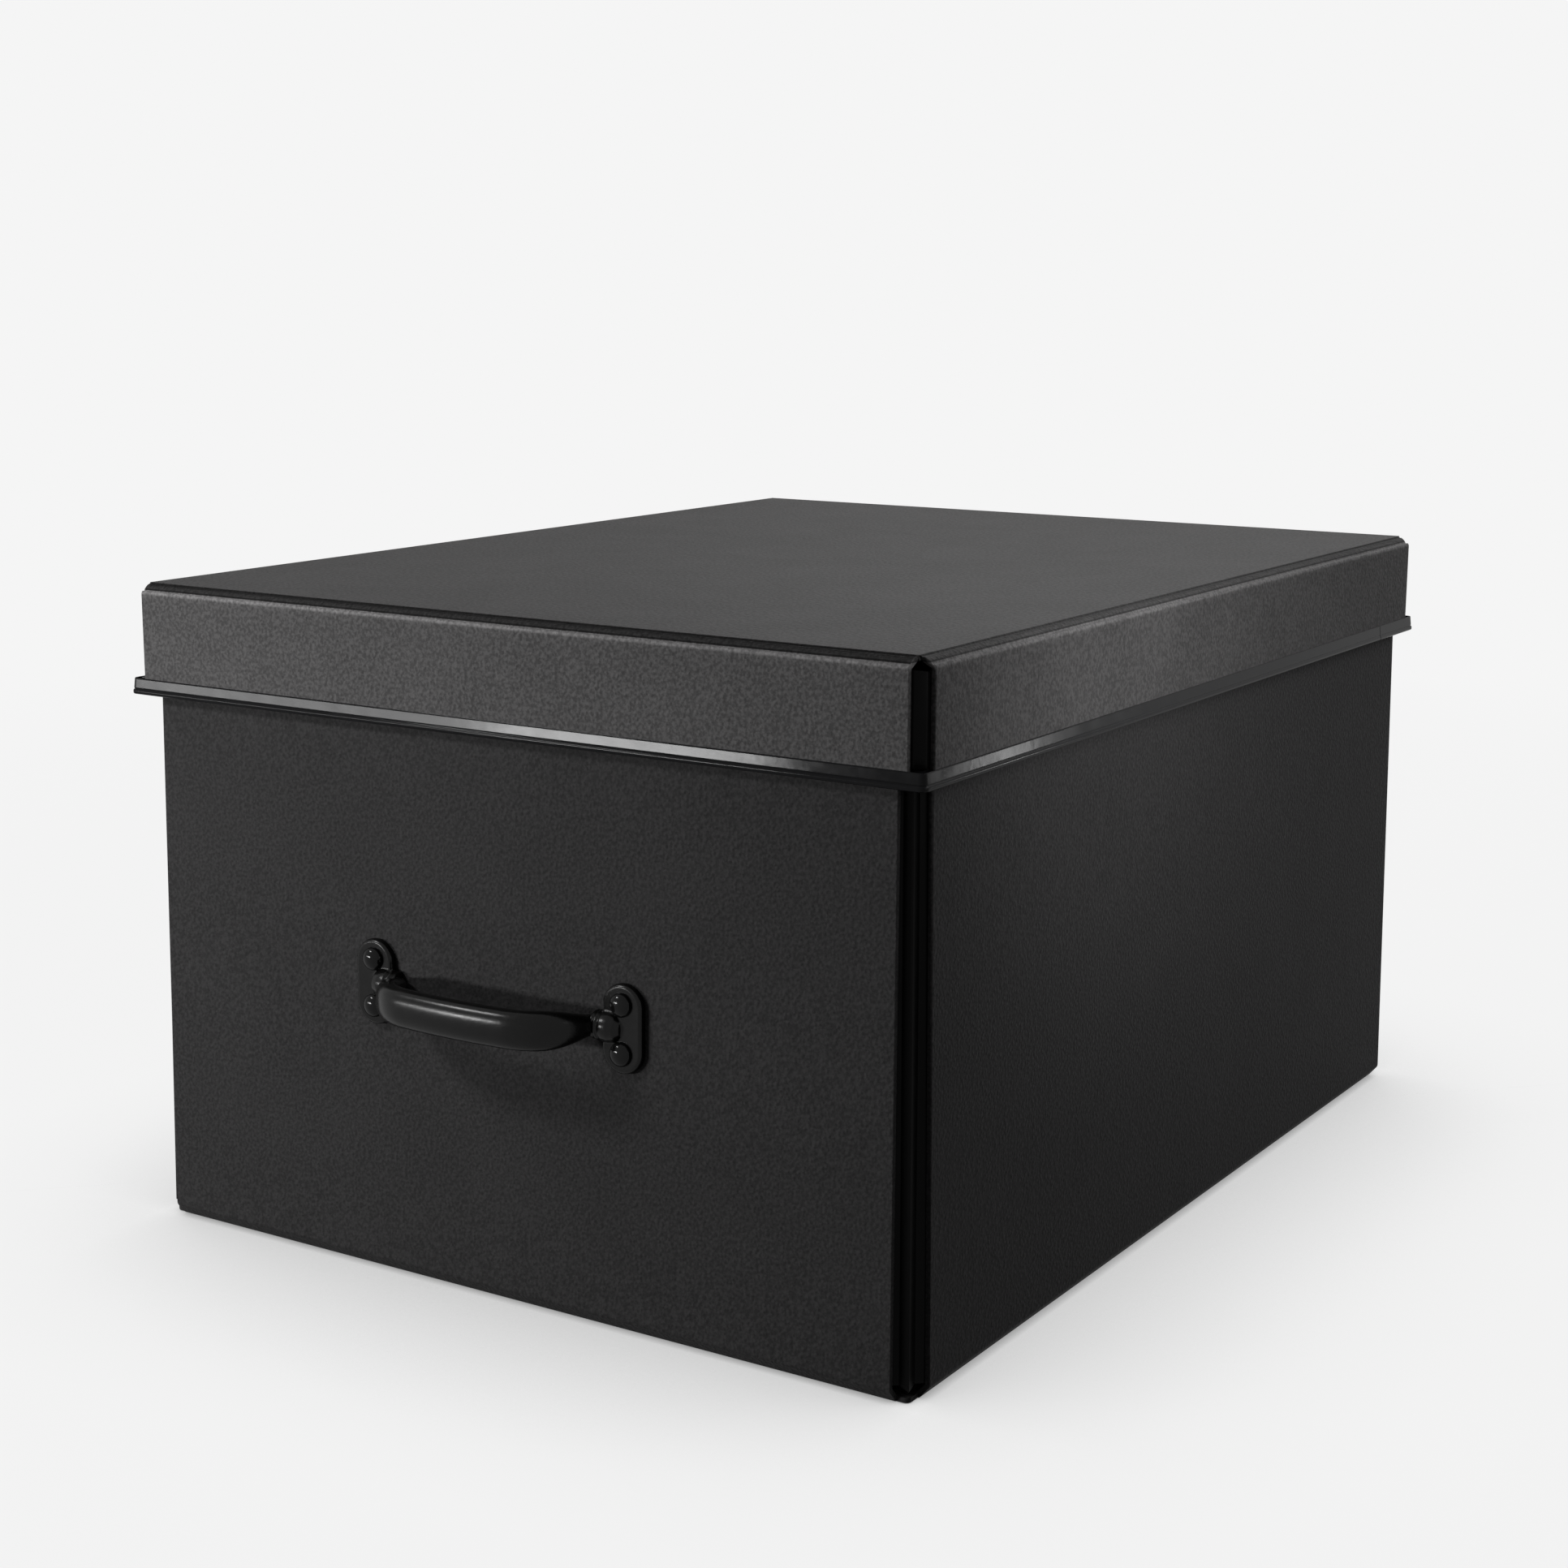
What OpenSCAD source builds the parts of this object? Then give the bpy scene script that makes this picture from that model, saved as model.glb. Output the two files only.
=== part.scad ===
// Portable file box: a folded board box with a lift-off lid, corner strips, channel rims and two grips.
// The origin is on the floor under the middle of the box, +Z is up, and the front faces -Y.

/* [Box body] */
// Width of the body at the floor, left to right
body_w = 392.5; // [340:0.5:460]
// Depth of the body at the floor, front to back
body_d = 508.5; // [420:0.5:600]
// Height of the closed box
total_h = 286; // [240:1:340]
// Thickness of the folded board
board_t = 2.3; // [1.8:0.1:3]
// Lean of each wall towards the middle, in degrees
wall_lean = 0.72; // [0.2:0.02:1.2]
// How far the bottom fold sets the base in from the wall
base_fold_in = 4.8; // [3:0.1:7]
// Height of the bottom fold
base_fold_h = 5.5; // [3:0.1:8]
// Distance from a wall's upright edge to the corner, at the floor
wall_gap_low = 9.4; // [8:0.1:11]
// Distance from a wall's upright edge to the corner, at the top
wall_gap_high = 7.5; // [7:0.1:11]

/* [Lid] */
// Height of the lid, from its top to the foot of its rim
lid_h = 48.5; // [36:0.5:80]
// Gap on each side between the rim of the body and the lid's corner strips
lid_clearance = 0.5; // [0.3:0.1:3]
// Gap between the inside of the lid's fold and the edge of the rim that it rests on
lid_seat_gap = 0.2; // [0.1:0.05:0.5]
// How far the lid's folded edge reaches in over the top
lid_fold_in = 6; // [4:0.1:9]
// How far the lid's folded edge drops down the skirt
lid_fold_drop = 3.5; // [2:0.1:6]
// Distance from a skirt's upright edge to the lid's corner
skirt_gap = 6; // [4:0.1:9]
// Width of each score line pressed into the lid's fold
score_w = 1.4; // [0.8:0.1:1.5]
// Depth of each score line
score_depth = 0.5; // [0.2:0.1:0.8]

/* [Rims] */
// Thickness of the channel's metal
rim_t = 0.5; // [0.4:0.1:0.8]
// Height of the channel's legs
rim_h = 7; // [5:0.5:12]
// Gap between the channel and the board that it grips
rim_fit = 0.05; // [0.02:0.01:0.1]
// Radius of the bead along the foot of the lid's rim
bead_r = 0.9; // [0.6:0.1:1.2]
// Radius of the lid rim's corners
rim_corner_r = 2.5; // [2:0.1:4]
// Distance from the lid's back edge to the joint in its rim
seam_inset = 47; // [20:1:100]
// Width of the joint in a rim
seam_w = 0.4; // [0.2:0.1:1]

/* [Corner strips] */
// Thickness of a corner strip
strip_t = 1; // [0.8:0.1:1.4]
// Width of each flat leg behind the board
strip_leg = 22; // [14:1:34]
// Distance from the corner to where a body strip's leg bends inwards
strip_bend = 12; // [11.5:0.5:16]
// How far the nose of a body strip lies behind the board's inner face
strip_setback = 2.6; // [1:0.1:3.2]
// How far along each leg the flat across a lid strip's corner reaches
strip_flat = 3.4; // [2:0.1:4]
// Glue gap between a strip and the board
strip_fit = 0.03; // [0.02:0.01:0.1]
// Height of the nose of a body strip above the floor
strip_foot = 5; // [3.5:0.5:12]
// Gap between the inside of the bottom fold and the foot of a strip's legs
strip_leg_gap = 0.3; // [0.1:0.1:4]
// Gap between the inside of the lid's fold and the head of a lid strip
strip_head_gap = 0.3; // [0.1:0.1:6]
// Gap between a strip and the rim that it ends at
strip_rim_gap = 0.2; // [0.1:0.1:1]

/* [Handles] */
// Height of a handle's middle above the floor
handle_z = 128; // [90:1:170]
// Distance between the middles of a handle's two plates
handle_span = 127; // [115:1:140]
// Width of a plate
plate_w = 19; // [17:0.5:24]
// Height of a plate
plate_h = 36.5; // [34:0.5:44]
// Thickness of a plate
plate_t = 3.4; // [2.6:0.1:4.5]
// Width and depth of the bevel round a plate
plate_bevel = 1.2; // [0.6:0.1:1.8]
// Radius of the socket boss on a plate
boss_r = 6.5; // [6.2:0.1:7]
// Distance from the wall to the middle of the boss
boss_out = 1.8; // [1.6:0.1:2.4]
// Distance from a plate's middle to the open face of its boss
boss_reach = 13.5; // [12:0.5:16]
// Length of the straight part of the boss
boss_len = 8; // [6:0.5:8.5]
// Distance from the wall to the middle of the grip's end
neck_out = 4.8; // [4.6:0.1:5]
// Radius of the grip's neck where it meets the boss
neck_r = 4.2; // [3.4:0.1:4.4]
// Radius of the stub that the grip puts into the boss
stub_r = 2.2; // [1.6:0.1:2.6]
// Length of the stub
stub_len = 6; // [4:0.5:7]
// Gap round the stub and at its end
stub_fit = 0.1; // [0.05:0.05:0.2]
// Distance from the wall to the middle of the grip at its crown
grip_out = 26.2; // [24:0.1:32]
// Half the length of the grip's nearly straight crown
crown_half = 22; // [14:1:26]
// How much nearer the wall the ends of the crown lie than its middle
crown_sag = 0.9; // [0:0.1:2]
// How far before the boss the grip's shoulder turns to the wall
shoulder_pull = 4.9; // [3:0.1:8]
// How far before the boss the grip's neck turns into it
neck_pull = 5.4; // [3:0.1:8]
// Half the height of the grip at its crown
grip_half_h = 8; // [6:0.1:10]
// Half the thickness of the grip at its crown
grip_half_t = 5; // [4:0.1:6]

/* [Rivets] */
// Distance between the two rivets of a plate
rivet_pitch = 20; // [18:0.5:22]
// Radius of a rivet's shank
rivet_r = 2; // [1.6:0.1:2.4]
// Gap round the shank in every hole
rivet_fit = 0.1; // [0.05:0.05:0.2]
// Radius of the domed head
head_r = 5; // [4:0.1:5.2]
// Height of the domed head
head_h = 3.4; // [2:0.1:4]
// Radius of the washer inside the box
washer_r = 5.5; // [4.5:0.1:7]
// Thickness of the washer
washer_t = 0.8; // [0.5:0.1:1.2]
// Radius of the formed tail on the washer
tail_r = 3.6; // [3:0.1:4.2]
// Height of the formed tail
tail_h = 1.4; // [0.8:0.1:2]
// How much narrower the formed tail is at its end
tail_bevel = 0.8; // [0.2:0.1:1.4]

/* [Hidden] */
$fn = 64;

BOARD = "#2b2b2d";
STRIP = "#0c0c0d";
RIM = "#141415";
GRIP = "#1b1b1c";
RIVET = "#101011";
STEEL = "#a8a9ab";

// how far a wall moves in for each millimetre up
lean_rate = tan(wall_lean);
// turn of the lid's fold, between skirt and bevel
lid_turn = atan(lid_fold_in / lid_fold_drop);
// turn of the bottom fold, between wall and bevel
base_turn = atan(base_fold_in / base_fold_h);
fold_line = total_h - lid_fold_drop;
// how far in from the wall's foot line the flat base begins
base_in = base_fold_in + board_t * tan((90 - base_turn) / 2);
// how far behind the lid's outer face the body's rim lies
seat_in = board_t + strip_fit + strip_t + lid_clearance;
// height of the inside of the lid's fold over the rim's outer edge
fold_rise = (seat_in - board_t * cos(lid_turn)) * lid_fold_drop / lid_fold_in;
seat_z = min(total_h - board_t, fold_line - board_t * sin(lid_turn) + fold_rise);
// the top of the body's walls, under the rim's web
wall_top = seat_z - lid_seat_gap - rim_t;
// the body's size inside its rim's outer leg, measured where the leg ends
rim_foot = wall_top - rim_h + rim_t;
body_rim_in = 2 * (rim_fit - lean_rate * rim_foot);
body_rim_w = body_w + body_rim_in;
body_rim_d = body_d + body_rim_in;
// what the lid adds to the width and depth of the board in the body's rim
lid_grow = 2 * (rim_fit + rim_t + seat_in);
lid_w = body_rim_w + lid_grow;
lid_d = body_rim_d + lid_grow;
lid_foot = total_h - lid_h;
// the small overlap that joins shapes inside one piece
join = 0.5;
// a length beyond every cut
past = 2;
grip_end = handle_span / 2 - boss_reach;
grip_face_gap = 0.1;

function half_w(side) = side % 2 == 0 ? body_w / 2 : body_d / 2;
function half_d(side) = side % 2 == 0 ? body_d / 2 : body_w / 2;

// side 0 is the front, 1 the right, 2 the back and 3 the left
// here y = 0 is the wall's foot and +y is inwards
module at_side(side, depth) {
    rotate([0, 0, 90 * side]) translate([0, -depth, 0]) children();
}

// as at_side, but z runs up the leaning wall's outer face
module on_wall(side) {
    at_side(side, half_d(side)) rotate([-wall_lean, 0, 0]) children();
}

// an outline of (inwards, up) drawn out along the wall
module along_wall(length) {
    translate([-length / 2, 0, 0]) rotate([90, 0, 90]) linear_extrude(length) children();
}

// an outline of (along, up) drawn out inwards from y = 0
module through_wall(depth) {
    translate([0, depth, 0]) rotate([90, 0, 0]) linear_extrude(depth) children();
}

// the corner frame of a box: x and y run inwards along the two walls
module at_corner(corner, width, depth) {
    x = corner == 0 || corner == 3 ? -width / 2 : width / 2;
    y = corner < 2 ? -depth / 2 : depth / 2;
    translate([x, y, 0]) rotate([0, 0, 90 * corner]) children();
}

module rounded_block(width, depth, height, radius) {
    union() {
        translate([-width / 2 + radius, -depth / 2, 0]) cube([width - 2 * radius, depth, height]);
        translate([-width / 2, -depth / 2 + radius, 0]) cube([width, depth - 2 * radius, height]);
        for (x = [-1, 1], y = [-1, 1]) {
            translate([x * (width / 2 - radius), y * (depth / 2 - radius), 0]) {
                cylinder(h = height, r = radius);
            }
        }
    }
}

module plain_block(width, depth, height) {
    translate([-width / 2, -depth / 2, 0]) cube([width, depth, height]);
}

// ---- board ----

// section of a body wall with its bottom fold, which meets the flat base
module wall_section() {
    polygon([
        [base_fold_in, 0],
        [base_in, 0],
        [base_in, board_t],
        [base_fold_h * lean_rate + board_t, base_fold_h + board_t * tan(base_turn / 2)],
        [wall_top * lean_rate + board_t, wall_top],
        [wall_top * lean_rate, wall_top],
        [base_fold_h * lean_rate, base_fold_h]
    ]);
}

// a wall seen from outside, narrower at the top
module wall_outline(side) {
    low = half_w(side) - wall_gap_low;
    high = half_w(side) - lean_rate * wall_top - wall_gap_high;
    polygon([[-low, 0], [low, 0], [high, wall_top], [-high, wall_top]]);
}

// the flat of the body between its bottom folds
module body_base() {
    color(BOARD) plain_block(body_w - 2 * base_in, body_d - 2 * base_in, board_t);
}

// the front and back walls have holes for the rivets of a handle
module body_wall(side) {
    color(BOARD) difference() {
        at_side(side, half_d(side)) intersection() {
            along_wall(2 * half_w(side)) wall_section();
            through_wall(base_fold_in + 6 * board_t) wall_outline(side);
        }
        if (side % 2 == 0) {
            rivet_places(side) rotate([-90, 0, 0]) {
                cylinder(h = 3 * board_t, r = rivet_r + rivet_fit, center = true);
            }
        }
    }
}

// a point on the lid's bevel: 0 at the skirt, 1 at the top, sunk by depth
function bevel_point(share, depth) = [
    share * lid_fold_in + depth * cos(lid_turn),
    fold_line + share * lid_fold_drop - depth * sin(lid_turn)
];

// one pressed score line, centred on its share of the bevel
function score(middle) =
    let(reach = score_w / 2 / norm([lid_fold_in, lid_fold_drop]))
    [bevel_point(middle - reach, 0), bevel_point(middle, score_depth), bevel_point(middle + reach, 0)];

// section of a lid skirt with its double fold and a strip of the top
module skirt_section() {
    skirt_foot = lid_foot + rim_t;
    root = lid_fold_in + 4 * board_t;
    polygon(concat(
        [[0, skirt_foot], [0, fold_line]],
        score(0.22),
        score(0.83),
        [
            [lid_fold_in, total_h],
            [root, total_h],
            [root, total_h - board_t],
            [lid_fold_in + board_t * tan((90 - lid_turn) / 2), total_h - board_t],
            [board_t, fold_line - board_t * tan(lid_turn / 2)],
            [board_t, skirt_foot]
        ]
    ));
}

module lid_board() {
    color(BOARD) union() {
        translate([0, 0, total_h - board_t]) {
            plain_block(lid_w - 2 * lid_fold_in, lid_d - 2 * lid_fold_in, board_t);
        }
        for (side = [0:3]) {
            width = side % 2 == 0 ? lid_w : lid_d;
            depth = side % 2 == 0 ? lid_d : lid_w;
            at_side(side, depth / 2) along_wall(width - 2 * skirt_gap) skirt_section();
        }
    }
}

// ---- corner strips ----

// where the legs of every strip end, from the corner
strip_tail = strip_bend + strip_leg;
strip_face = board_t + strip_fit;
strip_turn = strip_t * tan(22.5);

// a strip's plan from its outlines along one leg, mirrored for the other; a corner lies on both legs
module strip_outline(outer, inner, corners) {
    last = len(outer) - 1;
    polygon(concat(
        outer,
        [for (i = [last - corners:-1:0]) [outer[i][1], outer[i][0]]],
        [for (i = [0:last - corners]) [inner[i][1], inner[i][0]]],
        [for (i = [last:-1:0]) inner[i]]
    ));
}

// plan of a body strip in a corner frame: two flat legs and a square nose that stands back from the corner
module body_strip_plan() {
    nose = strip_face + strip_setback;
    jog = strip_bend - strip_setback;
    strip_outline(
        [[strip_tail, strip_face], [strip_bend, strip_face], [jog, nose], [nose, nose]],
        [
            [strip_tail, strip_face + strip_t],
            [strip_bend + strip_turn, strip_face + strip_t],
            [jog + strip_turn, nose + strip_t],
            [nose + strip_t, nose + strip_t]
        ],
        1
    );
}

// plan of a lid strip: two flat legs joined by a flat across the corner
module lid_strip_plan() {
    flat = strip_face + strip_flat;
    strip_outline(
        [[strip_tail, strip_face], [flat, strip_face]],
        [[strip_tail, strip_face + strip_t], [flat + strip_turn, strip_face + strip_t]],
        0
    );
}

// the legs of a body strip end above the inside of the bottom fold, and the nose reaches lower
module body_corner(corner) {
    top = rim_foot - strip_rim_gap;
    leg_foot = base_fold_h + board_t * tan(base_turn / 2) + strip_leg_gap;
    clear = wall_gap_low - strip_leg_gap;
    color(STRIP) at_corner(corner, body_w, body_d) {
        rotate(a = wall_lean * sqrt(2), v = [-1, 1, 0]) difference() {
            translate([0, 0, strip_foot]) linear_extrude(top - strip_foot) body_strip_plan();
            translate([clear, 0, leg_foot - base_fold_h - past]) {
                cube([strip_tail, strip_tail, base_fold_h + past]);
            }
            translate([0, clear, leg_foot - base_fold_h - past]) {
                cube([strip_tail, strip_tail, base_fold_h + past]);
            }
        }
    }
}

module lid_corner(corner) {
    foot = lid_foot + rim_h + strip_rim_gap;
    head = fold_line - board_t * tan(lid_turn / 2) - strip_head_gap;
    color(STRIP) at_corner(corner, lid_w, lid_d) {
        translate([0, 0, foot]) linear_extrude(head - foot) lid_strip_plan();
    }
}

// ---- rims ----

// both legs and the web of a channel with its mouth up, bent round a board of this width and depth
module channel(width, depth) {
    grow = 2 * (rim_fit + rim_t);
    slot = 2 * (board_t + rim_fit);
    shrink = slot + 2 * rim_t;
    difference() {
        rounded_block(width + grow, depth + grow, rim_h, rim_corner_r);
        translate([0, 0, rim_t]) difference() {
            rounded_block(width + 2 * rim_fit, depth + 2 * rim_fit, rim_h, rim_corner_r - rim_t);
            plain_block(width - slot, depth - slot, rim_h);
        }
        translate([0, 0, -past]) plain_block(width - shrink, depth - shrink, rim_h + 2 * past);
    }
}

// a round bead along the foot of the outer leg
module bead(width, depth) {
    sink = bead_r - 2 * rim_t;
    bend = rim_corner_r - rim_t / 2;
    x = width / 2 + rim_fit + rim_t / 2;
    y = depth / 2 + rim_fit + rim_t / 2;
    translate([0, 0, bead_r]) {
        for (side = [-1, 1]) {
            translate([-x + bend, side * y, 0]) rotate([0, 90, 0]) {
                cylinder(h = 2 * (x - bend), r = bead_r);
            }
            translate([side * x, -y + bend, 0]) rotate([-90, 0, 0]) {
                cylinder(h = 2 * (y - bend), r = bead_r);
            }
        }
        for (corner = [0:3]) {
            at_corner(corner, 2 * x, 2 * y) translate([bend, bend, 0]) rotate([0, 0, 180]) {
                rotate_extrude(angle = 90) translate([bend, 0]) circle(r = bead_r);
            }
        }
    }
}

module seam_cut(width, depth, inset) {
    translate([width / 2 - 6 * board_t, depth / 2 - inset, -past]) {
        cube([12 * board_t, seam_w, rim_h + 2 * past]);
    }
}

module lid_rim() {
    color(RIM) translate([0, 0, lid_foot]) difference() {
        union() {
            channel(lid_w, lid_d);
            difference() {
                bead(lid_w, lid_d);
                translate([0, 0, -past]) {
                    plain_block(lid_w + 2 * rim_fit, lid_d + 2 * rim_fit, rim_h + past);
                }
            }
        }
        seam_cut(lid_w, lid_d, seam_inset);
    }
}

// a straight channel with its mouth down on the top of one wall
module body_rim(side) {
    outside = -rim_fit - rim_t;
    inside = board_t + 2 * rim_fit + lean_rate * rim_h;
    top = wall_top + rim_t;
    length = 2 * (half_w(side) - lean_rate * wall_top - wall_gap_high);
    depth = side % 2 == 0 ? body_rim_d : body_rim_w;
    color(RIM) at_side(side, depth / 2) along_wall(length) polygon([
        [outside, rim_foot],
        [-rim_fit, rim_foot],
        [-rim_fit, wall_top],
        [inside, wall_top],
        [inside, rim_foot],
        [inside + rim_t, rim_foot],
        [inside + rim_t, top],
        [outside, top]
    ]);
}

// ---- handles ----

// the four rivet axes of one handle; y = 0 is the wall's outer face
module rivet_places(side) {
    on_wall(side) for (x = [-1, 1], z = [-1, 1]) {
        translate([x * handle_span / 2, 0, handle_z + z * rivet_pitch / 2]) children();
    }
}

// a plate with round ends and a bevelled face, standing out towards -y
module plate_blank() {
    r = plate_w / 2;
    low = plate_t - plate_bevel;
    end = plate_h / 2 - r;
    small = r - plate_bevel;
    rotate([90, 0, 0]) {
        for (y = [-1, 1]) {
            translate([0, y * end, 0]) cylinder(h = low, r = r);
            translate([0, y * end, low]) cylinder(h = plate_bevel, r1 = r, r2 = small);
        }
        translate([-r, -end, 0]) cube([2 * r, 2 * end, low]);
        translate([0, end, low]) rotate([90, 0, 0]) linear_extrude(2 * end) {
            polygon([[-r, 0], [r, 0], [small, plate_bevel], [-small, plate_bevel]]);
        }
    }
}

// the socket boss, which reaches from the plate towards +x
module boss() {
    start = boss_reach - boss_len;
    intersection() {
        translate([0, -boss_out, 0]) {
            translate([start, 0, 0]) rotate([0, 90, 0]) cylinder(h = boss_len, r = boss_r);
            translate([start, 0, 0]) sphere(r = boss_r);
        }
        translate([start - 2 * boss_r, -4 * boss_r, -2 * boss_r]) cube([6 * boss_r, 4 * boss_r, 4 * boss_r]);
    }
}

// hand is 1 for the plate on the left, whose boss faces +x, and -1 for the one on the right
module handle_plate(side, hand) {
    bore = stub_len + stub_fit;
    flip = hand < 0 ? 1 : 0;
    color(GRIP) on_wall(side) translate([-hand * handle_span / 2, 0, handle_z]) mirror([flip, 0, 0]) {
        difference() {
            union() {
                plate_blank();
                boss();
            }
            translate([boss_reach - bore, -neck_out, 0]) rotate([0, 90, 0]) {
                cylinder(h = bore + past, r = stub_r + stub_fit);
            }
            for (z = [-1, 1]) {
                translate([0, 0, z * rivet_pitch / 2]) rotate([90, 0, 0]) {
                    cylinder(h = 6 * plate_t, r = rivet_r + rivet_fit, center = true);
                }
            }
        }
    }
}

// the bow's middle line as [along, outwards], from the crown at 0 to the boss at 1
crown_share = 0.3;
// how far the pulls of the shoulder and of the neck lie from the ends of their curve
crown_fall = 0.3;
neck_rise = 0.7;
// the section narrows from its crown size to the neck's between these shares
narrow_from = 0.5;
narrow_to = 0.97;
function bezier(a, b, c, d, t) =
    pow(1 - t, 3) * a + 3 * t * pow(1 - t, 2) * b + 3 * t * t * (1 - t) * c + t * t * t * d;
bow_end = grip_end - grip_face_gap;
function bow(t) = t < crown_share
    ? [crown_half * t / crown_share, grip_out - crown_sag * pow(t / crown_share, 2)]
    : bezier(
        [crown_half, grip_out - crown_sag],
        [bow_end - shoulder_pull, grip_out - crown_sag - crown_fall],
        [bow_end - neck_pull, neck_out + neck_rise],
        [bow_end, neck_out],
        (t - crown_share) / (1 - crown_share)
    );
function bow_way(t) = let(e = 0.01) t > 0.99 ? [1, 0] : t < 0.01 ? [1, 0] :
    let(d = bow(t + e) - bow(t - e)) d / norm(d);
// half sizes of the grip's section: full at the crown, the neck's radius at the boss
function ease(t) = t * t * (3 - 2 * t);
function grip_part(t) = 1 - ease(min(1, max(0, (t - narrow_from) / (narrow_to - narrow_from))));
function half_size(t) = [neck_r, neck_r] + grip_part(t) * [grip_half_t - neck_r, grip_half_h - neck_r];
grip_rings = 20;
grip_sides = 20;
// a rounded section: 2 is an ellipse, more is squarer
section_power = 2.5;
function round_power(v) = sign(v) * pow(abs(v), 2 / section_power);

function grip_ring(hand, t) =
    let(c = bow(t), w = bow_way(t), s = half_size(t))
    [for (k = [0:grip_sides - 1])
        let(
            a = 360 * k / grip_sides,
            n = s[0] * round_power(cos(a)),
            z = s[1] * round_power(sin(a)),
            x = c[0] - n * w[1],
            y = c[1] + n * w[0]
        )
        [hand * x, -y, z]
    ];

// a grip like a bow, with a stub at each end that sits in a boss
module handle_grip(side) {
    shares = concat(
        [for (i = [grip_rings:-1:1]) [-1, i / grip_rings]],
        [for (i = [0:grip_rings]) [1, i / grip_rings]]
    );
    rings = [for (s = shares) each grip_ring(s[0], s[1])];
    count = len(shares);
    sides = grip_sides;
    skin = [for (i = [0:count - 2], k = [0:sides - 1])
        let(a = i * sides + k, b = i * sides + (k + 1) % sides) each [[a, b, b + sides], [a, b + sides, a + sides]]
    ];
    caps = [
        [for (k = [sides - 1:-1:0]) k],
        [for (k = [0:sides - 1]) (count - 1) * sides + k]
    ];
    color(GRIP) on_wall(side) translate([0, 0, handle_z]) {
        polyhedron(points = rings, faces = concat(skin, caps), convexity = 4);
        for (x = [-1, 1]) {
            translate([x * (bow_end - join), -neck_out, 0]) rotate([0, x * 90, 0]) {
                cylinder(h = stub_len + join, r = stub_r);
            }
        }
    }
}

module rivet() {
    // radius of the sphere that the domed head is cut from
    dome = (head_r * head_r + head_h * head_h) / (2 * head_h);
    tail_face = board_t + washer_t;
    rotate([90, 0, 0]) translate([0, 0, plate_t]) intersection() {
        translate([0, 0, head_h - dome]) sphere(r = dome);
        cylinder(h = 2 * head_h, r = 2 * head_r);
    }
    translate([0, tail_face, 0]) rotate([90, 0, 0]) cylinder(h = tail_face + plate_t + join, r = rivet_r);
    translate([0, tail_face, 0]) rotate([-90, 0, 0]) cylinder(h = tail_h, r1 = tail_r, r2 = tail_r - tail_bevel);
}

module handle_rivets(side) {
    color(RIVET) rivet_places(side) rivet();
}

module handle_washers(side) {
    color(STEEL) rivet_places(side) translate([0, board_t, 0]) rotate([-90, 0, 0]) difference() {
        cylinder(h = washer_t, r = washer_r);
        cylinder(h = 4 * washer_t, r = rivet_r + rivet_fit, center = true);
    }
}

body_base();
body_wall(0);  // body_wall_front
body_wall(1);  // body_wall_right
body_wall(2);  // body_wall_back
body_wall(3);  // body_wall_left
body_corner(0);  // body_corner_front_left
body_corner(1);  // body_corner_front_right
body_corner(2);  // body_corner_back_right
body_corner(3);  // body_corner_back_left
body_rim(0);  // body_rim_front
body_rim(1);  // body_rim_right
body_rim(2);  // body_rim_back
body_rim(3);  // body_rim_left
lid_board();
lid_corner(0);  // lid_corner_front_left
lid_corner(1);  // lid_corner_front_right
lid_corner(2);  // lid_corner_back_right
lid_corner(3);  // lid_corner_back_left
lid_rim();
handle_grip(0);  // handle_front_grip
handle_plate(0, 1);  // handle_front_plate_left
handle_plate(0, -1);  // handle_front_plate_right
handle_rivets(0);  // handle_front_rivets
handle_washers(0);  // handle_front_washers
handle_grip(2);  // handle_back_grip
handle_plate(2, 1);  // handle_back_plate_left
handle_plate(2, -1);  // handle_back_plate_right
handle_rivets(2);  // handle_back_rivets
handle_washers(2);  // handle_back_washers
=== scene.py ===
"""Dresses the portable file box: board body, lift-off lid, corner strips, rims and grips."""

import logging
import math
from collections.abc import Callable, Iterator, Sequence
from contextlib import contextmanager
from dataclasses import dataclass, field
from enum import Enum

import bmesh
import bpy
from mathutils import Matrix, Vector


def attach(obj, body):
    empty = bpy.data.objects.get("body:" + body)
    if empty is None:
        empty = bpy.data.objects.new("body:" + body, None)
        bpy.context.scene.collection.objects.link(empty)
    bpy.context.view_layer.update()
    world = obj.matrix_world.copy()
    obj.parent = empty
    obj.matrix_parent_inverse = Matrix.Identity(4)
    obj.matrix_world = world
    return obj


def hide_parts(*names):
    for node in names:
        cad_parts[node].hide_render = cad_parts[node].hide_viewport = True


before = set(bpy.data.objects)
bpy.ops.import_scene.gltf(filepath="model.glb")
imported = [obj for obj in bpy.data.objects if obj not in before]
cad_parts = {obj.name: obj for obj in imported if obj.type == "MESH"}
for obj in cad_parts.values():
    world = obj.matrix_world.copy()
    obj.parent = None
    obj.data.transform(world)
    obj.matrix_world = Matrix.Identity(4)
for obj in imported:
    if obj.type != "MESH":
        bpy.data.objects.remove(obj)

log = logging.getLogger("file_box")
MM = 0.001
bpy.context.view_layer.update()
SIDES = ("front", "right", "back", "left")

Point2 = tuple[float, float]
Point3 = tuple[float, float, float]
Piece = bpy.types.Object
Material = bpy.types.Material
Socket = bpy.types.NodeSocket
Source = Socket | float


# ---- the bench: small helpers round Blender's own operators ----


def clear_selection() -> None:
    """Deselects every object and leaves none active."""
    bpy.ops.object.select_all(action="DESELECT")
    bpy.context.view_layer.objects.active = None


def pick(*objects: Piece) -> None:
    """Selects only these objects.

    Args:
        objects: The objects to select; the first one becomes active.
    """
    clear_selection()
    for obj in objects:
        obj.select_set(True)
    bpy.context.view_layer.objects.active = objects[0]


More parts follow.
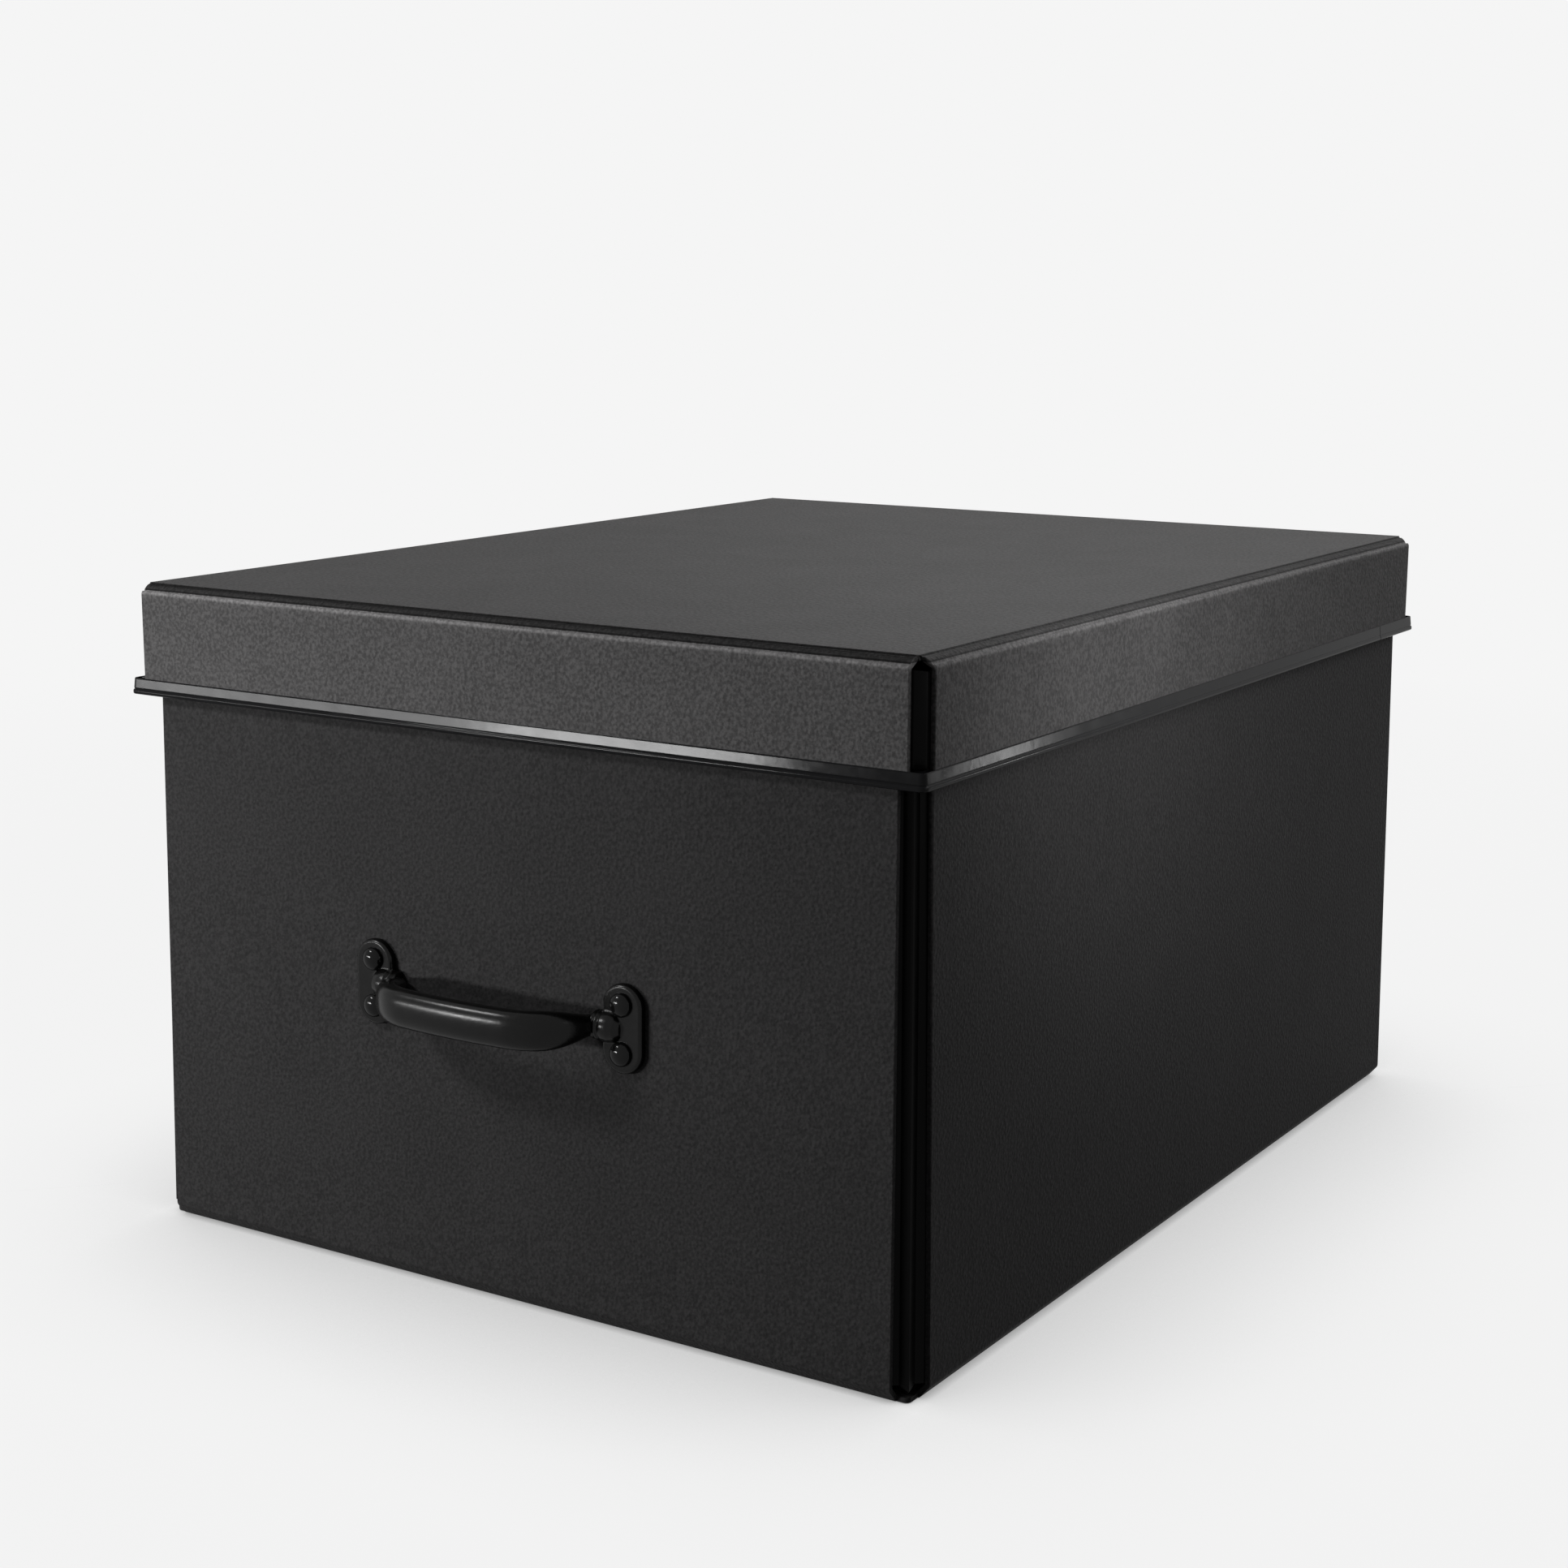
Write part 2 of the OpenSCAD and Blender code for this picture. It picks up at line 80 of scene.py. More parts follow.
@contextmanager
def editing(obj: Piece, mode: str = "FACE", whole: bool = False) -> Iterator[None]:
    """Opens a mesh in edit mode until the block ends.

    Args:
        obj: The mesh object.
        mode: VERT, EDGE or FACE.
        whole: Whether everything is selected at first, in place of nothing.
    """
    pick(obj)
    bpy.ops.object.mode_set(mode="EDIT")
    bpy.ops.mesh.select_mode(type=mode)
    bpy.ops.mesh.select_all(action="SELECT" if whole else "DESELECT")
    yield
    bpy.ops.object.mode_set(mode="OBJECT")


def choose(obj: Piece, kind: str, test: Callable[[object], bool]) -> None:
    """Selects the elements that pass a test, in edit mode.

    Args:
        obj: The mesh object that is being edited.
        kind: verts, edges or faces.
        test: Says of one bmesh element whether it is wanted.
    """
    bpy.ops.mesh.select_mode(type=kind[:-1].upper())
    bpy.ops.mesh.select_all(action="DESELECT")
    mesh = bmesh.from_edit_mesh(obj.data)
    for item in getattr(mesh, kind):
        if test(item):
            item.select_set(True)
    bmesh.update_edit_mesh(obj.data)


def carry(obj: Piece, matrix: Matrix) -> None:
    """Moves the selected points by a matrix, in edit mode.

    Args:
        obj: The mesh object that is being edited.
        matrix: Where each selected point goes.
    """
    mesh = bmesh.from_edit_mesh(obj.data)
    for vert in mesh.verts:
        if vert.select:
            vert.co = matrix @ vert.co
    bmesh.update_edit_mesh(obj.data)


def extrude(by: Point3) -> None:
    """Extrudes the selection and moves the new part by a distance in metres."""
    bpy.ops.mesh.extrude_region_move(TRANSFORM_OT_translate={"value": by})


def bevel(radius: float, segments: int = 2, **options: object) -> None:
    """Rounds the selected edges by a radius in millimetres; options go to the operator."""
    bpy.ops.mesh.bevel(offset=radius * MM, segments=segments, affect="EDGES", **options)


def close_up(obj: Piece) -> None:
    """Merges doubled points, drops faces without area and turns every face outwards."""
    with editing(obj, whole=True):
        bpy.ops.mesh.remove_doubles(threshold=1e-6)
        bpy.ops.mesh.dissolve_degenerate(threshold=1e-7)
        bpy.ops.mesh.select_all(action="SELECT")
        bpy.ops.mesh.normals_make_consistent(inside=False)


def block(width: float, depth: float, thick: float, middle: float) -> Piece:
    """Adds a flat block on the box's upright axis.

    Args:
        width: Its size along X in millimetres.
        depth: Its size along Y.
        thick: Its size along Z.
        middle: The height of its middle.

    Returns:
        The block.
    """
    clear_selection()
    bpy.ops.mesh.primitive_cube_add(size=1.0)
    obj = bpy.context.active_object
    obj.scale = (width * MM, depth * MM, thick * MM)
    obj.location = (0.0, 0.0, middle * MM)
    place(obj, Matrix.Identity(4))
    return obj


def outline(name: str, points: Sequence[Point3], filled: bool = True) -> Piece:
    """Adds a flat outline through these points.

    Args:
        name: The object's name.
        points: The corners, in order, in metres.
        filled: Whether the outline is a face.

    Returns:
        The new object.
    """
    clear_selection()
    fill = "NGON" if filled else "NOTHING"
    bpy.ops.mesh.primitive_circle_add(vertices=len(points), radius=1.0, fill_type=fill)
    obj = bpy.context.active_object
    obj.name = name
    for vert, point in zip(obj.data.vertices, points):
        vert.co = point
    return obj


def join(name: str, parts: Sequence[Piece]) -> Piece:
    """Joins meshes into the first one and renames it.

    Args:
        name: The joined object's name.
        parts: The meshes.

    Returns:
        The joined object.
    """
    pick(*parts)
    bpy.ops.object.join()
    parts[0].name = name
    parts[0].data.name = name
    return parts[0]


def copy_of(obj: Piece, name: str, matrix: Matrix) -> Piece:
    """Copies a piece with a mesh of its own and puts the copy in another place.

    Args:
        obj: The piece to copy.
        name: The copy's name.
        matrix: From the piece's place to the copy's.

    Returns:
        The copy.
    """
    twin = obj.copy()
    twin.data = obj.data.copy()
    twin.name = name
    twin.data.name = name
    bpy.context.scene.collection.objects.link(twin)
    place(twin, matrix)
    return twin


def place(obj: Piece, matrix: Matrix) -> None:
    """Moves a mesh by a matrix and keeps its object at the origin."""
    pick(obj)
    obj.matrix_world = matrix @ obj.matrix_world
    bpy.ops.object.transform_apply(location=True, rotation=True, scale=True)


def modify(obj: Piece, kind: str, **settings: object) -> None:
    """Adds a modifier and applies it.

    Args:
        obj: The mesh object.
        kind: The modifier's type, such as BEVEL.
        settings: The modifier's values.
    """
    pick(obj)
    modifier = obj.modifiers.new(kind.title(), kind)
    for key, value in settings.items():
        setattr(modifier, key, value)
    bpy.ops.object.modifier_apply(modifier=modifier.name)


def smooth(obj: Piece, angle: float, flats: bool = False) -> None:
    """Shades a mesh smooth.

    Args:
        obj: The mesh object.
        angle: Edges above this angle, in degrees, stay sharp.
        flats: Whether normals are weighted by area, so that flats stay flat beside small rounds.
    """
    pick(obj)
    bpy.ops.object.shade_smooth_by_angle(angle=math.radians(angle))
    if flats:
        modify(obj, "WEIGHTED_NORMAL", mode="FACE_AREA", weight=100, keep_sharp=True)


def lathe(name: str, points: Sequence[Point2], steps: int = 40) -> Piece:
    """Turns a closed half outline round the Z axis.

    Args:
        name: The object's name.
        points: (radius, height) in millimetres; the first and last lie on the axis.
        steps: Steps of a full turn.

    Returns:
        The turned solid.
    """
    obj = outline(name, [(r * MM, 0.0, z * MM) for r, z in points], filled=False)
    with editing(obj, "VERT", whole=True):
        bpy.ops.mesh.spin(steps=steps, angle=math.tau, center=(0, 0, 0), axis=(0, 0, 1))
    close_up(obj)
    return obj


def fillet(
    corner: Point2, before: Point2, after: Point2, radius: float, steps: int = 4
) -> list[Point2]:
    """Rounds one corner of an outline.

    Args:
        corner: The corner.
        before: The point before it.
        after: The point after it.
        radius: The radius, in the outline's unit.
        steps: Segments of the arc.

    Returns:
        The arc's points, in order.
    """
    c, a, b = Vector(corner), Vector(before), Vector(after)
    u, v = (a - c).normalized(), (b - c).normalized()
    half = math.acos(max(-1.0, min(1.0, u.dot(v)))) / 2
    reach = radius / math.tan(half)
    middle = c + (u + v).normalized() * (radius / math.sin(half))
    start, end = c + u * reach - middle, c + v * reach - middle
    turn = start.angle_signed(end)
    points = []
    for i in range(steps + 1):
        angle = -turn * i / steps
        points.append((
            middle.x + start.x * math.cos(angle) - start.y * math.sin(angle),
            middle.y + start.x * math.sin(angle) + start.y * math.cos(angle),
        ))
    return points


def hand_in(
    obj: Piece, body: str, slot: str, material: Material, *nodes: str
) -> None:
    """Gives a finished piece its material and body, and hides the nodes that it stands for.

    Args:
        obj: The piece.
        body: The CAD body that it rides on.
        slot: The record's material slot; not used.
        material: Its material.
        nodes: The CAD nodes that it replaces.
    """
    obj.data.materials.clear()
    obj.data.materials.append(material)
    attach(obj, body)
    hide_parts(*nodes)
    log.info("%s rides on %s: %d faces", obj.name, body, len(obj.data.polygons))


# ---- finishes ----


class Slot(Enum):
    """The record's material slots of the pieces that are built here."""

    BOARD = "board"
    STRIP = "strip"
    RIM = "rim"
    HANDLE = "handle"
    RIVET = "rivet"


def grey(tone: float) -> tuple[float, float, float, float]:
    """Gives an opaque grey as red, green, blue and alpha."""
    return (tone, tone, tone, 1.0)


class Nodes:
    """The node tree of a material or a world, with short ways to add and join nodes."""

    def __init__(self, owner: Material | bpy.types.World) -> None:
        """Turns the owner's nodes on."""
        self.owner = owner
        owner.use_nodes = True

    def link(self, source: Socket, target: Socket) -> None:
        """Joins two sockets."""
        self.owner.node_tree.links.new(source, target)

    def add(self, kind: str, *sources: Source, **values: object) -> bpy.types.Node:
        """Adds a node.

        Args:
            kind: The node's type without its ShaderNode prefix.
            sources: Sockets or numbers for the node's first inputs, in their order.
            values: Properties, or input values where the name is an input with _ for a space.

        Returns:
            The node.
        """
        node = self.owner.node_tree.nodes.new("ShaderNode" + kind)
        for key, value in values.items():
            label = key.replace("_", " ")
            if label in node.inputs:
                node.inputs[label].default_value = value
            else:
                setattr(node, key, value)
        for source, target in zip(sources, node.inputs):
            if isinstance(source, float):
                target.default_value = source
            else:
                self.link(source, target)
        return node

    def out(self, kind: str, *sources: Source, **values: object) -> Socket:
        """Adds a node, as add does, and gives its first output."""
        return self.add(kind, *sources, **values).outputs[0]

    def ramp(self, source: Socket, stops: Sequence[Point2]) -> Socket:
        """Maps a value through grey stops.

        Args:
            source: The value.
            stops: (position, grey) pairs.

        Returns:
            The mapped grey.
        """
        node = self.add("ValToRGB", source)
        elements = node.color_ramp.elements
        while len(elements) < len(stops):
            elements.new(0.5)
        for element, (position, tone) in zip(elements, stops):
            element.position = position
            element.color = grey(tone)
        return node.outputs["Color"]

    def mix(self, factor: Socket, low: Sequence[float], high: Sequence[float]) -> Socket:
        """Mixes two colours by a factor.

        Args:
            factor: 0 gives the low colour and 1 the high one.
            low: Red, green and blue.
            high: Red, green and blue.

        Returns:
            The mixed colour.
        """
        node = self.add("Mix", data_type="RGBA", A=(*low, 1.0), B=(*high, 1.0))
        self.link(factor, node.inputs["Factor"])
        return node.outputs["Result"]

    def seen(self, plain: Socket, pale: Socket) -> Socket:
        """Keeps a pale shader for the camera and for reflections.

        Args:
            plain: The shader that all other rays meet.
            pale: The shader that is seen.

        Returns:
            The mixed shader.
        """
        path = self.add("LightPath").outputs
        bounced = self.out(
            "Math", path["Is Glossy Ray"], path["Is Transmission Ray"], operation="MAXIMUM"
        )
        either = self.out("Math", path["Is Camera Ray"], bounced, operation="MAXIMUM")
        return self.out("MixShader", either, plain, pale)


class Surface(Nodes):
    """A material with one shader, whose patterns lie in the object's own coordinates."""

    def __init__(self, name: str, **shader: object) -> None:
        """Starts the material.

        Args:
            name: The material's name.
            shader: Values of the shader's own inputs, with _ for a space.
        """
        super().__init__(bpy.data.materials.new(name))
        self.shader = self.owner.node_tree.nodes["Principled BSDF"].inputs
        for key, value in shader.items():
            self.shader[key.replace("_", " ")].default_value = value
        self.place_at = self.add("TexCoord").outputs["Object"]

    def pattern(self, kind: str = "TexNoise", **values: object) -> Socket:
        """Adds a texture in the object's coordinates and gives its first output."""
        return self.out(kind, self.place_at, **values)

    def colour(self, source: Socket) -> None:
        """Feeds the shader's colour."""
        self.link(source, self.shader["Base Color"])

    def rough(self, source: Socket, low: float, high: float) -> None:
        """Spreads the shader's roughness from low to high by a pattern."""
        spread = self.out("MapRange", source, To_Min=low, To_Max=high)
        self.link(spread, self.shader["Roughness"])

    def bump(self, height: Socket, relief_mm: float, strength: float = 1.0) -> None:
        """Adds a relief over those that are there already.

        Args:
            height: The pattern.
            relief_mm: Its height in millimetres.
            strength: The share of the relief that shows.
        """
        node = self.add("Bump", Strength=strength, Distance=relief_mm * MM)
        self.link(height, node.inputs["Height"])
        for below in self.shader["Normal"].links:
            self.link(below.from_socket, node.inputs["Normal"])
        self.link(node.outputs["Normal"], self.shader["Normal"])


@dataclass(frozen=True)
class EmbossedPaper:
    """Charcoal paper with a fine pebbled emboss, glued over the board.

    The fold's tones are (millimetres under the top, factor) pairs of painted light: painted shade
    in the two score grooves, a painted highlight on the fold's edge, and skirts painted lighter
    than the top. The first set serves the front and the back; the second, with lighter grooves
    and a dimmer highlight, serves the two sides, which lie further out than side_from.
    """

    name: str
    dark: Point3 = (0.0265, 0.0260, 0.0263)
    light: Point3 = (0.0460, 0.0450, 0.0456)
    rough: float = 0.6
    shine: float = 0.02
    grain_mm: float = 1.7
    relief_mm: float = 0.2
    fibre: float = 0.0
    fold_top: float = 0.286
    fold_painted_light: tuple[tuple[float, float], ...] = ()
    side_painted_light: tuple[tuple[float, float], ...] = ()
    side_from: float = 0.19
    fold_reach: float = 8.0
    tone_full: float = 4.0
    pore_share: float = 0.55

    def build(self) -> Material:
        """Makes the paper's material: mottled colour, pebbles, pores, faint fibres and, where tones
        are given, the fold's painted shade and highlight.
        """
        surface = Surface(self.name, Specular_IOR_Level=self.shine)
        fine = 1.0 / (self.grain_mm * MM)
        pebbles = surface.pattern(
            "TexVoronoi", feature="SMOOTH_F1", Scale=fine, Smoothness=0.6, Randomness=1.0
        )
        pores = surface.pattern(Scale=fine * 2.1, Detail=3.0, Roughness=0.6)
        cloud = surface.pattern(Scale=26.0, Detail=5.0, Roughness=0.62, Distortion=0.4)
        speck = surface.pattern(Scale=fine * 1.1, Detail=2.0, Roughness=0.6)
        mottle = surface.ramp(cloud, [(0.34, 0.06), (0.66, 0.24)])
        dots = surface.ramp(speck, [(0.40, 0.0), (0.60, 0.7)])
        tone = surface.out("Math", mottle, dots, operation="ADD")
        colour = surface.mix(tone, self.dark, self.light)
        # Over the lid's fold: painted shade in the score grooves and a painted highlight on the
        # edge.
        surface.colour(self.paint_fold_light(surface, colour) if self.fold_painted_light else colour)
        surface.rough(speck, self.rough - 0.06, self.rough + 0.08)
        domes = surface.ramp(pebbles, [(0.0, 1.0), (0.62, 0.0)])
        height = surface.out("Math", pores, self.pore_share, domes, operation="MULTIPLY_ADD")
        surface.bump(height, self.relief_mm)
        if self.fibre:
            drawn = surface.pattern(
                "Mapping", Rotation=(0.0, 0.0, math.radians(24)), Scale=(520.0, 130.0, 400.0)
            )
            fibres = surface.out(
                "TexNoise", drawn, Scale=1.0, Detail=2.0, Roughness=0.5, Distortion=0.8
            )
            surface.bump(fibres, 0.1, self.fibre)
        return surface.owner

    def paint_fold_light(self, surface: Surface, colour: Socket) -> Socket:
        """Paints shade into the fold's score grooves and a highlight on the edge under them, paints
        the skirts lighter than the top, and gives the sides their own painted tones.

        Args:
            surface: The material's nodes.
            colour: The paper's colour.

        Returns:
            The colour with the fold's painted shade and highlight.
        """
        axes = surface.add("SeparateXYZ", surface.place_at).outputs
        low = self.fold_top - self.fold_reach * MM
        height = surface.out("MapRange", axes["Z"], From_Min=low, From_Max=self.fold_top)
        out = surface.out("Math", axes["X"], operation="ABSOLUTE")
        beside = surface.out("Math", out, self.side_from, operation="GREATER_THAN")
        tones = surface.add("Mix", beside, data_type="RGBA")
        for stops, socket in ((self.fold_painted_light, "A"), (self.side_painted_light, "B")):
            reach, full = self.fold_reach, self.tone_full
            shares = [(1 - drop / reach, tone / full) for drop, tone in reversed(stops)]
            surface.link(surface.ramp(height, shares), tones.inputs[socket])
        shade = tones.outputs["Result"]
        scaled = surface.out("VectorMath", colour, shade, operation="MULTIPLY")
        return surface.out("VectorMath", scaled, operation="SCALE", Scale=self.tone_full)


@dataclass(frozen=True)
class BlackGloss:
    """Moulded or drawn black stock with a hand-worn gloss."""

    name: str
    colour: Point3 = (0.006, 0.006, 0.0065)
    rough: float = 0.16
    shine: float = 0.5
    ripple_mm: float = 0.02

    def build(self) -> Material:
        """Makes the gloss: an even colour, smudged roughness and a faint ripple."""
        surface = Surface(self.name, Specular_IOR_Level=self.shine)
        smudge = surface.pattern(Scale=90.0, Detail=5.0, Roughness=0.6)
        bright = [1.5 * c + 0.001 for c in self.colour]
        surface.colour(surface.mix(smudge, self.colour, bright))
        surface.rough(smudge, self.rough - 0.05, self.rough + 0.1)
        surface.bump(surface.pattern(Scale=160.0, Detail=2.0), self.ripple_mm)
        return surface.owner


@dataclass(frozen=True)
class SatinPaint:
    """Black baked paint on steel, with a slight orange peel and rubbed edges."""

    name: str
    colour: Point3 = (0.0035, 0.0034, 0.0033)
    rubbed: Point3 = (0.03, 0.029, 0.028)
    rough: float = 0.21

    def build(self) -> Material:
        """Makes the paint: orange peel, fine speckle and lighter rubbed edges."""
        surface = Surface(self.name, Specular_IOR_Level=0.15)
        wear = surface.pattern(Scale=260.0, Detail=6.0, Roughness=0.7)
        edge = surface.add("NewGeometry").outputs["Pointiness"]
        rubs = surface.ramp(edge, [(0.515, 0.0), (0.56, 1.0)])
        spots = surface.ramp(wear, [(0.5, 0.0), (0.68, 1.0)])
        worn = surface.out("Math", rubs, spots, operation="MULTIPLY")
        surface.colour(surface.mix(worn, self.colour, self.rubbed))
        surface.rough(wear, self.rough - 0.06, self.rough + 0.1)
        surface.bump(surface.pattern(Scale=900.0, Detail=3.0, Roughness=0.5), 0.03)
        return surface.owner


@dataclass(frozen=True)
class PlainZinc:
    """Dull zinc-plated steel."""

    name: str
    dark: Point3 = (0.42, 0.42, 0.43)
    light: Point3 = (0.6, 0.6, 0.62)

    def build(self) -> Material:
        """Makes the plating: spangled grey with fine scratches."""
        surface = Surface(self.name, Metallic=1.0)
        spangle = surface.pattern("TexVoronoi", Scale=700.0)
        scratch = surface.pattern(Scale=1500.0, Detail=4.0, Distortion=2.0)
        surface.colour(surface.mix(spangle, self.dark, self.light))
        surface.rough(scratch, 0.3, 0.5)
        surface.bump(scratch, 0.02, 0.5)
        return surface.owner


class Finishes:
    """Every finish of the box, built once."""

    def __init__(self) -> None:
        """Builds the finishes."""
        self.paper = EmbossedPaper("charcoal_paper").build()
        # The lid's paper is the body's paper painted lighter: a lit copy of the same material.
        self.lid_paper_painted_lighter = EmbossedPaper(
            "charcoal_paper_lid",
            dark=(0.0440, 0.0430, 0.0432),
            light=(0.0890, 0.0870, 0.0874),
            fibre=0.9,
            # Painted light over the fold: painted shade in the score grooves, a painted highlight
            # on the edge and skirts painted lighter than the top, with a second set for the sides.
            fold_painted_light=(
                (0.04, 1.0), (0.16, 0.2), (0.95, 0.16), (1.15, 0.4), (2.1, 0.5), (2.35, 0.2),
                (2.85, 0.2), (3.1, 2.9), (4.0, 2.9), (4.9, 1.4), (6.5, 1.25),
            ),
            side_painted_light=(
                (0.04, 1.0), (0.16, 0.55), (0.95, 0.5), (1.15, 0.85), (1.9, 0.95), (2.1, 0.55),
                (2.45, 0.55), (2.75, 2.3), (4.0, 2.4), (4.9, 1.4), (6.5, 1.25),
            ),
        ).build()
        self.strip = BlackGloss("strip_plastic", (0.0025,) * 3, 0.3, 0.03).build()
        self.rim = BlackGloss("rim_lacquer", rough=0.08, shine=0.05).build()
        self.paint = SatinPaint("handle_paint").build()
        self.rivet = BlackGloss("rivet_lacquer", (0.003,) * 3, 0.08, 0.13, 0.01).build()
        self.zinc = PlainZinc("washer_zinc").build()


# ---- the folded board ----


@dataclass
class BoxSizes:
    """Sizes of the box in millimetres, as the frame has them, and the trims past it."""

    body_w: float = 392.5
    body_d: float = 508.5
    board_t: float = 2.3
    lean: float = math.tan(math.radians(0.72))
    base_in: float = 4.8
    base_h: float = 5.5
    gap_low: float = 9.4
    gap_high: float = 7.5
    wall_top: float = 281.37
    lid_w: float = 394.45
    lid_d: float = 510.45
    top: float = 286.0
    fold_line: float = 282.5
    lid_foot: float = 237.5
    rim_h: float = 7.0
    rim_t: float = 0.5
    rim_gap: float = 0.2
    skirt_gap: float = 6.0
    base_relief: float = 0.04
    strip_t: float = 1.0
    strip_fit: float = 0.03
    strip_tail: float = 34.0
    strip_bend: float = 12.0
    strip_setback: float = 2.6
    strip_flat: float = 3.4
    handle_z: float = 128.0
    end_trim: Point2 = (1.1, 2.8)
    skirt_trim: Point2 = (0.85, 2.4)

    def wall_lengths(self, side: int) -> tuple[float, float]:
        """Gives half a wall's length at the floor and at its top."""
        half = (self.body_d if side % 2 else self.body_w) / 2
        half -= self.end_trim[side % 2]
        return half - self.gap_low, half - self.lean * self.wall_top - self.gap_high

    def ring(self, panels: Sequence[Piece], width: float, depth: float) -> None:
        """Stands four panels round the box, front, right, back and left."""
        for side, panel in enumerate(panels):
            place(panel, self.side(side, width if side % 2 else depth))

    def side(self, index: int, depth: float) -> Matrix:
        """Places a side: its outline runs inwards along +Y from the side's foot line.

        Args:
            index: 0 is the front, 1 the right, 2 the back and 3 the left.
            depth: The distance between this side and its opposite one, in millimetres.

        Returns:
            The side's place.
        """
        turn = Matrix.Rotation(index * math.pi / 2, 4, "Z")
        return turn @ Matrix.Translation((0.0, -depth / 2 * MM, 0.0))


@dataclass
class FoldedPanel:
    """One side of folded board: an outline of (inwards, up) drawn out along the side."""

    name: str
    points: Sequence[Point2]
    half_low: float
    half_high: float
    height: float
    edge_r: float = 0.35
    flare: float = 0.0
    flare_h: float = 5.0

    def half_at(self, z: float) -> float:
        """Gives half the panel's length at a height; a flare widens its top in an arch."""
        arch = min(1.0, max(0.0, (z - self.height + self.flare_h) / self.flare_h))
        straight = self.half_low + (self.half_high - self.half_low) * min(1.0, z / self.height)
        return straight + self.flare * (1.0 - math.sqrt(1.0 - arch * arch))

    def build(self) -> Piece:
        """Draws the outline out from one end of the side to the other and rounds its cut ends.

        Returns:
            The panel, with its outer face towards -Y and y = 0 on the side's foot line.
        """
        ends = [(-self.half_at(z) * MM, y * MM, z * MM) for y, z in self.points]
        obj = outline(self.name, ends)
        with editing(obj, whole=True):
            extrude((self.half_low * MM, 0.0, 0.0))
            extrude((self.half_low * MM, 0.0, 0.0))
            mesh = bmesh.from_edit_mesh(obj.data)
            for vert in mesh.verts:
                if vert.select:
                    vert.co.x = self.half_at(vert.co.z / MM) * MM
            bmesh.update_edit_mesh(obj.data)
        close_up(obj)
        with editing(obj):
            choose(obj, "faces", lambda f: abs(f.normal.x) > 0.9)
            bevel(self.edge_r, clamp_overlap=True)
        return obj


@dataclass
class BoardBody:
    """The body: a base and four leaning walls with rounded bottom folds."""

    sizes: BoxSizes
    root_in: float = 3.2
    foot_r: float = 1.6
    fold_r: float = 3.0
    base_inset: float = 0.35
    base_corner_r: float = 2.4
    base_edge_r: float = 0.4

    def wall_outline(self) -> list[Point2]:
        """Gives a wall's section, from its root in the base, round its fold and up."""
        s = self.sizes
        foot, fold = (s.base_in, 0.0), (s.base_h * s.lean, s.base_h)
        top = (s.wall_top * s.lean, s.wall_top)
        root = s.base_in + self.root_in
        t = s.board_t
        return [
            (root, 0.0),
            *fillet(foot, (root, 0.0), fold, self.foot_r),
            *fillet(fold, foot, top, self.fold_r),
            top,
            (top[0] + t, top[1]),
            (fold[0] + t, fold[1] + 0.9),
            (foot[0] + 1.0, t),
            (root, t),
        ]

    def build(self) -> Piece:
        """Builds the walls and the base and joins them."""
        s = self.sizes
        parts = []
        for side in range(4):
            low, high = s.wall_lengths(side)
            wall = FoldedPanel(f"wall_{side}", self.wall_outline(), low, high, s.wall_top)
            parts.append(wall.build())
        s.ring(parts, s.body_w, s.body_d)
        inset = s.base_in + self.base_inset
        width, depth = s.body_w - 2 * inset, s.body_d - 2 * inset
        base = block(width, depth, s.board_t - s.base_relief, s.board_t / 2)
        with editing(base):
            choose(base, "edges", lambda e: abs(e.verts[0].co.z - e.verts[1].co.z) > MM)
            bevel(self.base_corner_r, 4)
            choose(base, "edges", lambda e: all(v.co.z < MM for v in e.verts))
            bevel(self.base_edge_r)
        parts.append(base)
        obj = join("board_body", parts)
        smooth(obj, 32, flats=True)
        return obj


@dataclass
class BoardLid:
    """The lid: a top and four skirts that hang from a double-scored fold."""

    sizes: BoxSizes
    edge_r: float = 0.28
    sheet_in: float = 6.3
    sheet_edge_r: float = 0.15

    def skirt_outline(self) -> list[Point2]:
        """Gives a skirt's section: two score grooves with a bead between, edge and skirt."""
        s = self.sizes
        t, foot = s.board_t, s.lid_foot + s.rim_t
        fold = (
            (6.9, 0.0), (6.25, 0.02), (6.0, 0.16), (5.8, 0.55), (5.5, 0.82), (5.2, 0.86),
            (4.9, 0.72), (4.5, 0.80), (3.9, 1.10), (3.2, 1.58), (2.6, 2.10), (2.25, 2.55),
            (2.0, 3.05), (1.7, 3.32), (1.4, 3.34), (1.1, 3.18), (0.8, 3.20), (0.45, 3.42),
            (0.18, 3.82), (0.04, 4.35), (0.0, 5.0),
        )
        inner = [(0.0, foot), (t, foot), (t, s.fold_line - 1.3), (6.6, s.top - t), (6.9, s.top - t)]
        return [(y, s.top - drop) for y, drop in fold] + inner

    def build(self) -> Piece:
        """Builds the skirts and the top and joins them."""
        s = self.sizes
        parts = []
        for side in range(4):
            trim = s.skirt_trim[side % 2]
            half = (s.lid_d if side % 2 else s.lid_w) / 2 - s.skirt_gap - trim
            skirt = FoldedPanel(
                f"skirt_{side}", self.skirt_outline(), half, half, s.top, self.edge_r, trim
            )
            parts.append(skirt.build())
        s.ring(parts, s.lid_w, s.lid_d)
        width, depth = s.lid_w - 2 * self.sheet_in, s.lid_d - 2 * self.sheet_in
        sheet = block(width, depth, s.board_t - s.base_relief, s.top - s.board_t / 2)
        with editing(sheet):
            choose(sheet, "edges", lambda e: all(v.co.z > (s.top - 1) * MM for v in e.verts))
            bevel(self.sheet_edge_r)
        parts.append(sheet)
        obj = join("board_lid", parts)
        smooth(obj, 38, flats=True)
        return obj


# ---- corner strips ----


